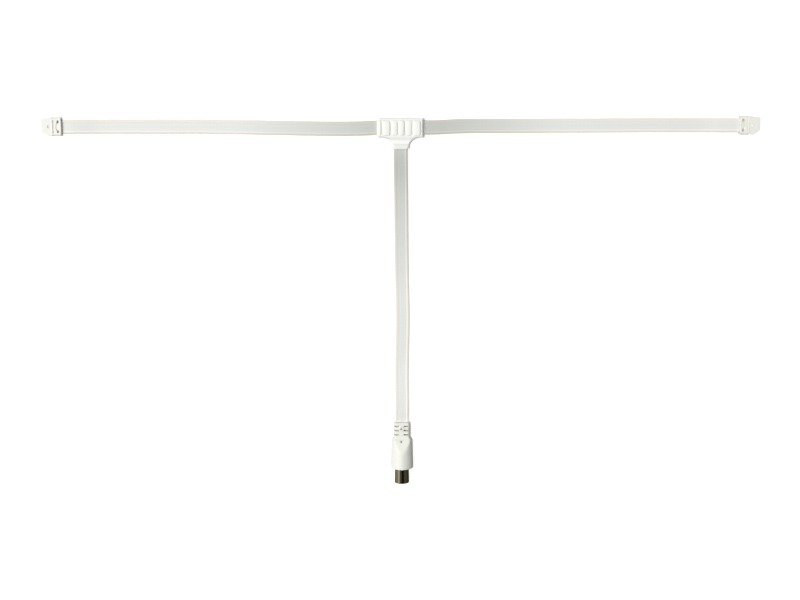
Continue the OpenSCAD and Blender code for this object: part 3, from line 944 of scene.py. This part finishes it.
    def ribs(self, material: bpy.types.Material) -> bpy.types.Object:
        """Stands the finger ribs in a row, wider towards the block's ends, where the outer two are cut short.

        Args:
            material: The finish that the tree sets.

        Returns:
            The ribs' object.
        """
        sheet = ShapeSheet("finger_ribs")
        count = sheet.size("Rib count", self.rib_count)
        pitch = sheet.size("Rib pitch", self.rib_pitch * MM)
        gap = sheet.size("Gap between ribs", self.rib_gap * MM)
        length = sheet.size("Half rib length", self.rib_l / 2 * MM)
        height = sheet.size("Half rib height", (self.rib_top - self.rib_base) / 2 * MM)
        reach = sheet.size("Reach along the block", self.rib_reach * MM)
        squareness = sheet.size("Squareness", self.rib_squareness)
        crown = sheet.size("Crown", self.rib_crown * MM)
        shift = sheet.size("Shift of the grooves", self.rib_x * MM)
        place_y = sheet.size("Place along the neck's line", self.rib_y * MM)
        spread = sheet.size("Spread in the middle", self.spread_middle)
        growth = sheet.size("Growth of the spread", self.spread_growth / MM ** 2)
        middle = sheet.size("Middle height", (self.rib_top + self.rib_base) / 2 * MM)
        low = sheet.size("Drop of every other rib", self.rib_low * MM)

        # An even row, centred on the origin
        half = sheet.add(MATH, (pitch, 0.5), operation="MULTIPLY")
        minus_half = sheet.add(MATH, (pitch, -0.5), operation="MULTIPLY")
        gaps = sheet.add(MATH, (count, 1.0), operation="SUBTRACT")
        first = sheet.add(MATH, (gaps, minus_half), operation="MULTIPLY")
        row = sheet.add("GeometryNodeMeshLine", {
            "Count": count, "Start Location": sheet.add(XYZ, (first, 0.0, 0.0)),
            "Offset": sheet.add(XYZ, (pitch, 0.0, 0.0)),
        }, mode="OFFSET")

        # Each rib's two sides: spread outwards, less half a gap, and no further than the reach
        x = sheet.add("ShaderNodeSeparateXYZ", (sheet.add("GeometryNodeInputPosition"),))
        sides = []
        for way, bound in ((-1.0, "MAXIMUM"), (1.0, "MINIMUM")):
            edge = sheet.add(MATH, (half, way, x), operation="MULTIPLY_ADD")
            square = sheet.add(MATH, (edge, edge), operation="MULTIPLY")
            scale = sheet.add(MATH, (growth, square, spread), operation="MULTIPLY_ADD")
            groove = sheet.add(MATH, (edge, scale, shift), operation="MULTIPLY_ADD")
            side = sheet.add(MATH, (gap, -0.5 * way, groove), operation="MULTIPLY_ADD")
            limit = sheet.add(MATH, (reach, way), operation="MULTIPLY")
            sides.append(sheet.add(MATH, (side, limit), operation=bound))
        total = sheet.add(MATH, (sides[0], sides[1]), operation="ADD")
        centre = sheet.add(MATH, (total, 0.5), operation="MULTIPLY")
        width = sheet.add(MATH, (sides[1], sides[0]), operation="SUBTRACT")
        share = sheet.add(MATH, (width, pitch), operation="DIVIDE")
        kept = sheet.add("GeometryNodeCaptureAttribute", {"Geometry": row}).node
        kept.capture_items.new("FLOAT", "share")
        sheet.feed(kept, {1: share})

        # Every other rib lies a little lower
        odd = sheet.add(MATH, (sheet.add("GeometryNodeInputIndex"), 2.0), operation="MODULO")
        even = sheet.add(MATH, (1.0, odd), operation="SUBTRACT")
        dropped = sheet.add(MATH, (even, low), operation="MULTIPLY")
        level = sheet.add(MATH, (middle, dropped), operation="SUBTRACT")
        shifted = sheet.add("GeometryNodeSetPosition", {
            "Geometry": kept.outputs[0], "Position": sheet.add(XYZ, (centre, place_y, level)),
        })

        # One rib, crowned across its width
        block = sheet.pillow(sheet.add(XYZ, (half, length, height)), squareness, self.rib_cuts)
        off = sheet.add(MATH, (x, half), operation="DIVIDE")
        off_square = sheet.add(MATH, (off, off), operation="MULTIPLY")
        downwards = sheet.add(MATH, (crown, -1.0), operation="MULTIPLY")
        fall = sheet.add(MATH, (off_square, downwards), operation="MULTIPLY")
        rib = sheet.add("GeometryNodeSetPosition", {
            "Geometry": block, "Offset": sheet.add(XYZ, (0.0, 0.0, fall)),
        })
        placed = sheet.add("GeometryNodeInstanceOnPoints", {
            "Points": shifted, "Instance": rib, "Scale": sheet.add(XYZ, (kept.outputs[1], 1.0, 1.0)),
        })
        obj = mesh_object("tee_finger_ribs", np.zeros((1, 3)), [])
        sheet.run(obj, placed, material)
        return obj

    def build(self, material: bpy.types.Material) -> None:
        """Makes the moulding and its ribs, and dresses both.

        Args:
            material: Their finish.
        """
        for piece in (self.cover(), self.ribs(material)):
            dress(piece, material)
            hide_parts("tee_cover")


# End caps


class Side(Enum):
    """Which arm a cap closes."""

    LEFT = -1
    RIGHT = 1


@dataclass
class EndCap:
    """Hollow white cap with a flat hanging tab, softened as it comes out of the mould, in mm."""

    side: Side
    voxel: float = 0.13
    rounds: int = 9
    ease: float = 0.5
    mouth_x: float = 235.8
    half_w: float = 6.5
    top_z: float = 5.2
    bow: float = 0.22
    bow_reach: float = 2.0
    lip_from: float = 0.35
    lip_to: float = 1.5
    lip_fade: float = 0.5
    lip_rise: float = 0.12
    lip_skin: tuple[float, float] = (1.6, 0.2)
    latch_from: float = 4.7
    latch_to: float = 5.8
    latch_depth: float = 1.1
    latch_across: float = 0.9
    latch_kept: float = 0.62
    tab_from: float = 5.9
    tab_full: float = 6.15
    tab_z: float = 4.4
    tab_lift: float = 0.76
    tab_skin: tuple[float, float] = (1.2, 0.1)
    hole_p: float = 8.2
    hole_core: float = 0.3
    hole_flare: float = 0.34
    wall_from: float = 1.25
    wall_to: float = 1.9

    def softened(self, node: str, name: str) -> bpy.types.Object:
        """Copies a node's mesh, merges it and rounds its edges.

        Args:
            node: The CAD node that is copied.
            name: The new piece's name.

        Returns:
            The new piece, in millimetres.
        """
        bm = bmesh.new()
        bm.from_mesh(frame["nodes"][node].data)
        bmesh.ops.remove_doubles(bm, verts=bm.verts, dist=MERGE_M)
        bmesh.ops.scale(bm, vec=(1 / MM,) * 3, verts=bm.verts)
        mesh = bpy.data.meshes.new(name)
        bm.to_mesh(mesh)
        bm.free()
        obj = bpy.data.objects.new(name, mesh)
        bpy.context.scene.collection.objects.link(obj)
        skin = obj.modifiers.new("skin", "REMESH")
        skin.mode = "VOXEL"
        skin.voxel_size = self.voxel
        easing = obj.modifiers.new("ease", "SMOOTH")
        easing.factor = self.ease
        easing.iterations = self.rounds
        settle(obj)
        return obj

    def near_face(self, z: np.ndarray, face: float, skin: tuple[float, float]) -> np.ndarray:
        """Rises from 0 at the skin's lower depth under a face to 1 at its upper one."""
        return smooth_step(face - skin[0], face - skin[1], z)

    def ease_forms(self, places: np.ndarray) -> np.ndarray:
        """Bows the mouth, raises its lip, softens the latch line and the tab's step, and opens the hole downwards.

        Args:
            places: The corners' places in mm, one row each.

        Returns:
            Their new places.
        """
        x, y, z = places.T.copy()
        depth = self.side.value * x - self.mouth_x
        middle = (y.max() + y.min()) / 2
        off = y - middle
        across = np.clip(np.abs(off) / self.half_w, 0, 1)

        near = 1 - smooth_step(0.0, self.bow_reach, depth)
        bowed = depth - self.bow * (1 - across ** 2) * near
        lip = smooth_step(0.0, self.lip_from, depth) * (
            1 - smooth_step(self.lip_to - self.lip_fade, self.lip_to, depth))
        z += self.lip_rise * lip * self.near_face(z, self.top_z, self.lip_skin)

        latch = (depth > self.latch_from) & (depth < self.latch_to)
        latch &= (z > self.top_z - self.latch_depth) & (across < self.latch_across)
        z[latch] = self.top_z - (self.top_z - z[latch]) * self.latch_kept

        tab = smooth_step(self.tab_from, self.tab_full, depth)
        room = np.clip(self.tab_z + self.tab_lift - z, 0, self.tab_lift)
        z += room * tab * self.near_face(z, self.tab_z, self.tab_skin)

        reach = np.hypot(depth - self.hole_p, off)
        wall = 1 - smooth_step(self.wall_from, self.wall_to, reach)
        below = np.clip(self.tab_z - z, 0, None)
        grown = 1 + wall * self.hole_flare * below / np.maximum(reach, self.hole_core)
        x = self.side.value * (self.mouth_x + self.hole_p + (bowed - self.hole_p) * grown)
        return np.stack([x, middle + off * grown, z], 1)

    def build(self, material: bpy.types.Material) -> None:
        """Makes the cap, eases its forms and dresses it.

        Args:
            material: Its finish.
        """
        word = self.side.name.lower()
        obj = self.softened(f"{word}_end_cap", f"{word}_cap_moulding")
        places = np.zeros(len(obj.data.vertices) * 3)
        obj.data.vertices.foreach_get("co", places)
        eased = self.ease_forms(places.reshape(-1, 3))
        obj.data.vertices.foreach_set("co", (eased * MM).ravel())
        obj.data.update()
        face_outwards(obj)
        obj.data.shade_smooth()
        dress(obj, material)
        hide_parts(f"{word}_end_cap")


# Coaxial plug


@dataclass
class CoaxialPlug:
    """White plug with a slotted strain relief, thumb flats and a round grip, and its nickel tube.

    Sizes are in mm. A name that ends in _p is a distance down the plug from the top of its strain relief.
    """

    x: float = 1.0
    top_y: float = -209.0
    axis_z: float = 8.2
    around: int = 144
    row_bands: tuple[tuple[float, float], ...] = ((7.2, 0.2), (15.6, 0.3), (26.0, 0.5))
    last_rows: int = 8
    body_crease: float = 38.0
    relief_w: float = 6.25
    relief_h: float = 3.7
    relief_l: float = 10.8
    start_p: float = 0.75
    start_round: float = 1.0
    side_slope_w: float = 1.9
    side_slope_h: float = 3.0
    side_squareness: float = 1.45
    merge_before: float = 0.6
    merge_after: float = 0.2
    neck_r: float = 6.3
    neck_power: float = 1.6
    grip_top_p: float = 13.8
    grip_top_r: float = 7.65
    grip_end_r: float = 8.2
    grip_roundness: float = 1.85
    body_l: float = 34.5
    end_round: float = 0.4
    thumb_end_p: float = 23.0
    thumb_over: float = 0.15
    thumb_edge_power: float = 26.0
    seat_gap: float = 0.01
    seat_lip: float = 1.0
    features_x: float = -0.45
    boss_p: float = 5.1
    boss_r: float = 2.2
    boss_edge: float = 0.5
    boss_h: float = 0.45
    dimple_r: float = 0.8
    dimple_depth: float = 1.9
    dimple_cutter_l: float = 4.0
    thumb_dimple_p: float = 14.3
    slot_rows: int = 3
    slot_pitch: float = 3.1
    slot_first_p: float = 3.2
    slot_x: float = 3.33
    slot_half_l: float = 1.65
    slot_half_w: float = 0.52
    slot_half_depth: float = 1.9
    slot_sunk: float = 0.4
    slot_squareness: float = 7.0
    slot_cuts: tuple[int, int, int] = (9, 7, 5)
    tube_around: int = 96
    tube_crease: float = 50.0
    tube_r: float = 5.195
    tube_neck_r: float = 4.97
    tube_bore_r: float = 4.79
    tube_start_p: float = 24.8
    tube_end_p: float = 45.7
    tube_rim_rise: float = 0.06

    def relief_reach(self, c: np.ndarray, s: np.ndarray) -> np.ndarray:
        """Measures the strain relief's outline, a flat block with sloped sides.

        Args:
            c: Size of the cosine of each direction round the axis.
            s: Size of its sine.

        Returns:
            Distance from the axis to the outline in each direction.
        """
        w, h, a, b, m = self.relief_w, self.relief_h, self.side_slope_w, self.side_slope_h, self.side_squareness
        t = np.linspace(0, math.pi / 2, 60)
        run = np.linspace(0, 1, 40)
        across = np.concatenate([np.full_like(run, w), w - a + a * np.cos(t) ** (2 / m), (w - a) * (1 - run)])
        up = np.concatenate([(h - b) * run, h - b + b * np.sin(t) ** (2 / m), np.full_like(run, h)])
        return np.interp(np.arctan2(s, c), np.arctan2(up, across), np.hypot(across, up))

    def grip_reach(self, p: float, c: np.ndarray, s: np.ndarray) -> np.ndarray:
        """Measures the round grip with its two thumb flats, at one place along it.

        Args:
            p: Distance down the plug.
            c: Size of the cosine of each direction round the axis.
            s: Size of its sine.

        Returns:
            Distance from the axis to the outline in each direction.
        """
        share = (p - self.grip_top_p) / (self.body_l - self.grip_top_p)
        neck = max(0.0, 1 - (p - self.relief_l) / (self.grip_top_p - self.relief_l))
        radius = self.grip_top_r + (self.grip_end_r - self.grip_top_r) * share
        radius -= (self.grip_top_r - self.neck_r) * neck ** self.neck_power
        rise = (p - self.relief_l) / (self.thumb_end_p - self.relief_l)
        flat = self.relief_h + (self.grip_end_r + self.thumb_over - self.relief_h) * max(0.0, rise)
        n, m = self.grip_roundness, self.thumb_edge_power
        radius = radius / (c ** n + s ** n) ** (1 / n)
        return (radius ** -m + (flat / np.maximum(s, 1e-6)) ** -m) ** (-1 / m)

    def ring(self, reach: float | np.ndarray, p: float, turn: np.ndarray) -> np.ndarray:
        """Draws one ring round the plug's axis.

        Args:
            reach: Its distance from the axis, one for all directions or one for each.
            p: Its distance down the plug.
            turn: The directions.

        Returns:
            The ring's points in mm.
        """
        across = self.x + reach * np.cos(turn)
        return np.stack([across, np.full_like(turn, self.top_y - p), self.axis_z + reach * np.sin(turn)], 1)

    def body(self) -> bpy.types.Object:
        """Lofts the plug's moulding, open at the socket end.

        Returns:
            The moulding's object.
        """
        turn = np.linspace(0, 2 * math.pi, self.around, endpoint=False)
        c, s = np.abs(np.cos(turn)), np.abs(np.sin(turn))
        start, end = self.start_round, self.end_round
        curve = 1 - np.cos(np.linspace(0, math.pi / 2, 6))
        spans = [self.start_p + start * curve]
        low = self.start_p + start
        for high, pitch in self.row_bands:
            spans.append(np.arange(low, high, pitch))
            low = high
        spans += [np.linspace(low, self.body_l - end, self.last_rows), self.body_l - end * curve]
        rings = []
        for p in np.unique(np.round(np.concatenate(spans), 4)):
            place = np.array(p)
            share = float(smooth_step(self.relief_l - self.merge_before, self.grip_top_p + self.merge_after, place))
            reach = self.relief_reach(c, s) * (1 - share) + self.grip_reach(p, c, s) * share
            reach = reach - round_over(place - self.start_p, start, start)
            reach = reach - round_over(self.body_l - place, end, end)
            off = np.hypot(reach * np.cos(turn) - self.features_x, p - self.boss_p)
            lift = self.boss_h * (1 - smooth_step(self.boss_r - self.boss_edge, self.boss_r, off))
            rings.append(self.ring(reach + np.where(np.sin(turn) > 0, lift, 0), p, turn))
        for p in (self.body_l, self.body_l - self.seat_lip, self.tube_start_p):
            rings.append(self.ring(self.tube_r + self.seat_gap, p, turn))
        return rings_to_mesh("plug_moulding", np.array(rings) * MM)

    def cut_relief(self, obj: bpy.types.Object, material: bpy.types.Material) -> None:
        """Cuts the relief slots into both faces, and the two dimples.

        Args:
            obj: The plug's moulding.
            material: The finish that the tree sets.
        """
        sheet = ShapeSheet("relief_slots")
        rows = sheet.size("Slot rows", self.slot_rows)
        pitch = sheet.size("Slot pitch", self.slot_pitch * MM)
        across = sheet.size("Distance between columns", 2 * self.slot_x * MM)
        length = sheet.size("Half slot length", self.slot_half_l * MM)
        width = sheet.size("Half slot width", self.slot_half_w * MM)
        depth = sheet.size("Half slot depth", self.slot_half_depth * MM)
        squareness = sheet.size("Squareness", self.slot_squareness)
        face = sheet.size("Height of each face", (self.relief_h - self.slot_sunk) * MM)
        dimple = sheet.size("Dimple radius", self.dimple_r * MM)

        # Two columns of slots on each face
        gaps = sheet.add(MATH, (rows, 1.0), operation="SUBTRACT")
        grid = sheet.add("GeometryNodeMeshGrid", {
            "Size X": across, "Size Y": sheet.add(MATH, (pitch, gaps), operation="MULTIPLY"),
            "Vertices X": 2, "Vertices Y": rows,
        })
        slot = sheet.pillow(sheet.add(XYZ, (length, width, depth)), squareness, self.slot_cuts)
        slots = sheet.add("GeometryNodeInstanceOnPoints", {"Points": grid, "Instance": slot})
        x = (self.x + self.features_x) * MM
        middle_y = self.top_y - self.slot_first_p - self.slot_pitch * (self.slot_rows - 1) / 2
        cutters = []
        for way in (1.0, -1.0):
            height = sheet.add(MATH, (face, way, self.axis_z * MM), operation="MULTIPLY_ADD")
            at = sheet.add(XYZ, (x, middle_y * MM, height))
            cutters.append(sheet.add("GeometryNodeTransform", {"Geometry": slots, "Translation": at}))

        # A dimple in the boss and one in the thumb flat, each cut down to its floor
        pin = sheet.add("GeometryNodeMeshCylinder", {
            "Vertices": 24, "Radius": dimple, "Depth": self.dimple_cutter_l * MM,
        })
        rise = (self.thumb_dimple_p - self.relief_l) / (self.thumb_end_p - self.relief_l)
        for p, above in ((self.boss_p, self.boss_h), (self.thumb_dimple_p, (self.grip_end_r - self.relief_h) * rise)):
            floor = self.axis_z + self.relief_h + above - self.dimple_depth
            at = sheet.add(XYZ, (x, (self.top_y - p) * MM, (floor + self.dimple_cutter_l / 2) * MM))
            cutters.append(sheet.add("GeometryNodeTransform", {"Geometry": pin, "Translation": at}))

        joined = sheet.add("GeometryNodeJoinGeometry")
        for cutter in cutters:
            sheet.feed(joined.node, (cutter,))
        whole = sheet.add("GeometryNodeRealizeInstances", {"Geometry": joined})
        carved = sheet.add("GeometryNodeMeshBoolean", (sheet.entry.outputs[0], whole),
                           operation="DIFFERENCE", solver="EXACT")
        sheet.run(obj, carved, material)
        crease(obj, self.body_crease)

    def tube(self) -> bpy.types.Object:
        """Turns the outer contact: a thin tube with a rolled rim.

        Returns:
            The tube's object.
        """
        neck, outer, inner = self.tube_neck_r, self.tube_r, self.tube_bore_r
        start, end = self.tube_start_p, self.tube_end_p
        rim = outer + self.tube_rim_rise
        # The radius and the distance down the plug of each corner: up the outside, over the rim and back inside
        profile = [
            (neck, start), (neck, 35.0), ((neck + outer) / 2, 39.7), (outer, end - 1.6), (outer + 0.03, end - 1.2),
            (rim - 0.02, end - 0.8), (rim, end - 0.45), (rim - 0.05, end - 0.16), (rim - 0.17, end - 0.03),
            (rim - 0.3, end), (inner + 0.1, end - 0.02), (inner + 0.02, end - 0.1), (inner, end - 0.25),
            (inner, 40.0), (inner, 34.5), (inner, start), (neck, start),
        ]
        turn = np.linspace(0, 2 * math.pi, self.tube_around, endpoint=False)
        rings = np.array([self.ring(r, p, turn) for r, p in profile])
        obj = rings_to_mesh("plug_tube", rings * MM, close_ends=False)
        crease(obj, self.tube_crease)
        return obj

    def build(self, vinyl: bpy.types.Material, nickel: bpy.types.Material) -> None:
        """Makes the moulding and the tube, and dresses them.

        Args:
            vinyl: The moulding's finish.
            nickel: The tube's finish.
        """
        moulding = self.body()
        self.cut_relief(moulding, vinyl)
        dress(moulding, vinyl)
        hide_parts("plug_body")
        tube = self.tube()
        dress(tube, nickel)
        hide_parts("plug_sleeve")


# Studio


@dataclass(frozen=True)
class Card:
    """A dull card that only shiny metal sees, as a studio's flags do, in metres.

    It runs from one (x, z) line to another, each of them from the near to the far place along Y.
    """

    name: str
    colour: str
    start: tuple[float, float]
    end: tuple[float, float]
    glow: float = 1.0
    near: float = -1.2
    far: float = -0.36

    def hang(self) -> None:
        """Hangs the card where neither the camera nor the lit surfaces see it."""
        (x0, z0), (x1, z1) = self.start, self.end
        corners = [(x0, self.near, z0), (x1, self.near, z1), (x1, self.far, z1), (x0, self.far, z0)]
        card = mesh_object(self.name, np.array(corners), [(0, 1, 2, 3)])
        sheet = ShaderSheet(self.name)
        sheet.set(Base_Color=linear(BLACK), Roughness=1.0, Specular_IOR_Level=0.0,
                  Emission_Color=linear(self.colour), Emission_Strength=self.glow)
        card.data.materials.append(sheet.material)
        for ray in ("camera", "diffuse", "shadow", "transmission"):
            setattr(card, f"visible_{ray}", False)


@dataclass
class Studio:
    """Camera, pale floor, one large soft lamp from the left and white surroundings."""

    camera_at: tuple[float, float, float] = (-0.0004, 0.031, 0.900)
    aim: tuple[float, float, float] = (-0.0004, -0.1223, 0.0)
    lens: float = 57.54
    sensor: float = 36.0
    clip_start: float = 0.01
    floor_half: float = 12.0
    floor_colour: str = "C0C0C0"
    floor_glow: float = 0.86
    sky: float = 0.256
    sky_slope: float = 0.6
    lamp_at: tuple[float, float, float] = (-4.1, 1.7, 8.8)
    lamp_aim: tuple[float, float, float] = (0.0, -0.1, 0.0)
    lamp_side: float = 6.0
    lamp_watts: float = 810.0
    cards: tuple[Card, ...] = (
        Card("bright_card", "FFFDF2", (-2.3, 1.0), (-1.02, 1.3), glow=2.4),
        Card("left_flag", "868680", (-1.02, 1.3), (-0.04, 1.3)),
        Card("top_flag", BLACK, (-0.04, 1.3), (0.84, 1.3)),
        Card("right_flag", "9E9C8C", (0.84, 1.3), (2.6, 0.0)),
        Card("near_flag", "8C8876", (0.012, 0.0), (0.012, 0.015), near=-0.34, far=-0.2),
    )

    def camera(self) -> None:
        """Sets the camera up over the antenna."""
        data = bpy.data.cameras.new("camera")
        data.lens = self.lens
        data.sensor_width = self.sensor
        data.clip_start = self.clip_start
        camera = bpy.data.objects.new("camera", data)
        back = (Vector(self.camera_at) - Vector(self.aim)).normalized()
        right = Vector((1, 0, 0))
        camera.matrix_world = Matrix((right, back.cross(right), back)).transposed().to_4x4()
        camera.location = self.camera_at
        bpy.context.scene.collection.objects.link(camera)
        bpy.context.scene.camera = camera

    def floor(self) -> None:
        """Lays the pale floor, which shows white to the camera and keeps the antenna's shadow."""
        s = self.floor_half
        floor = mesh_object("floor", np.array([(-s, -s, 0), (s, -s, 0), (s, s, 0), (-s, s, 0)]), [(0, 1, 2, 3)])
        sheet = ShaderSheet("pale_paper_floor")
        glow = sheet.add(MATH, (sheet.straight_rays(), self.floor_glow), operation="MULTIPLY")
        sheet.set(Base_Color=linear(self.floor_colour), Roughness=1.0, Specular_IOR_Level=0.0,
                  Emission_Color=linear(WHITE), Emission_Strength=glow)
        floor.data.materials.append(sheet.material)

    def surroundings(self) -> None:
        """Makes the world white wherever it is seen, and a soft grey light that is stronger on the left."""
        world = bpy.data.worlds.new("surroundings")
        bpy.context.scene.world = world
        world.use_nodes = True
        sheet = NodeSheet(world.node_tree)
        way = sheet.add("ShaderNodeTexCoord", out="Generated")
        rightwards = sheet.add("ShaderNodeSeparateXYZ", (way,))
        light = sheet.add(MATH, (rightwards, -self.sky * self.sky_slope, self.sky), operation="MULTIPLY_ADD")
        level = sheet.add(RANGE, {"Value": sheet.straight_rays(), "To Min": light, "To Max": 1.0})
        sheet.feed(sheet.tree.nodes["Background"], {"Color": linear(WHITE), "Strength": level})

    def lamp(self) -> None:
        """Hangs the one large soft lamp."""
        data = bpy.data.lights.new("key_lamp", "AREA")
        data.size = self.lamp_side
        data.energy = self.lamp_watts
        lamp = bpy.data.objects.new("key_lamp", data)
        lamp.location = self.lamp_at
        aim = Vector(self.lamp_aim) - Vector(self.lamp_at)
        lamp.rotation_euler = aim.to_track_quat("-Z", "Y").to_euler()
        bpy.context.scene.collection.objects.link(lamp)

    def build(self) -> None:
        """Sets up everything that isn't the antenna."""
        self.camera()
        self.floor()
        self.surroundings()
        self.lamp()
        for card in self.cards:
            card.hang()
        bpy.context.scene.view_settings.view_transform = "Standard"


def main() -> None:
    """Builds the studio and the antenna in order."""
    logging.basicConfig(level=logging.INFO, format="%(name)s %(message)s")
    Studio().build()
    finishes = {
        "moulding": MouldedVinyl().make(),
        # Painted light: the tee takes a copy of the moulding's vinyl painted brighter than the caps and the plug.
        "tee": MouldedVinyl(name="tee_painted_brighter_vinyl", colour="FDFDF9", shade="F9F9F3").make(),
        "ribbon": MilkyRibbon().make(),
        "copper": BareCopper().make(),
        "solder": TinSolder().make(),
        "nickel": DarkNickel().make(),
        "insulator": NaturalPolyethylene().make(),
        "ferrite": SinteredFerrite().make(),
    }
    ribbons = [
        FlatRibbon("left_arm", ARM_LEFT_MM, (-16.75, 0, 3.6), FarEnd.FITTING, "dipole_ribbon",
                   ["left_cap_moulding", "left_end_link"]),
        FlatRibbon("right_arm", ARM_RIGHT_MM, (16.75, 0, 3.6), FarEnd.FITTING, "dipole_ribbon",
                   ["right_cap_moulding", "right_end_link"]),
        FlatRibbon("feeder", FEEDER_MM, (0, -14.8, 3.6), FarEnd.PLUG, "feeder_ribbon",
                   ["plug_moulding", "plug_tube", "plug_insulator", "plug_centre_contact",
                    "left_plug_wire_end", "right_plug_wire_end", "left_plug_solder", "right_plug_solder",
                    "balun_core", "balun_primary", "balun_secondary"]),
    ]
    swept = [ribbon.build() for ribbon in ribbons]
    TeeCover().build(finishes["tee"])
    for side in Side:
        EndCap(side).build(finishes["moulding"])
    CoaxialPlug().build(finishes["moulding"], finishes["nickel"])
    for ribbon, obj in zip(ribbons, swept):
        ribbon.declare(obj, finishes["ribbon"])
    for part in frame["record"]["subparts"]:
        node = frame["nodes"][part["node"]]
        node.data.materials.clear()
        node.data.materials.append(finishes[part["material_slot"]])
        log.info("%s keeps its shape, finish %s", part["node"], part["material_slot"])


if __name__ == "__main__":
    main()
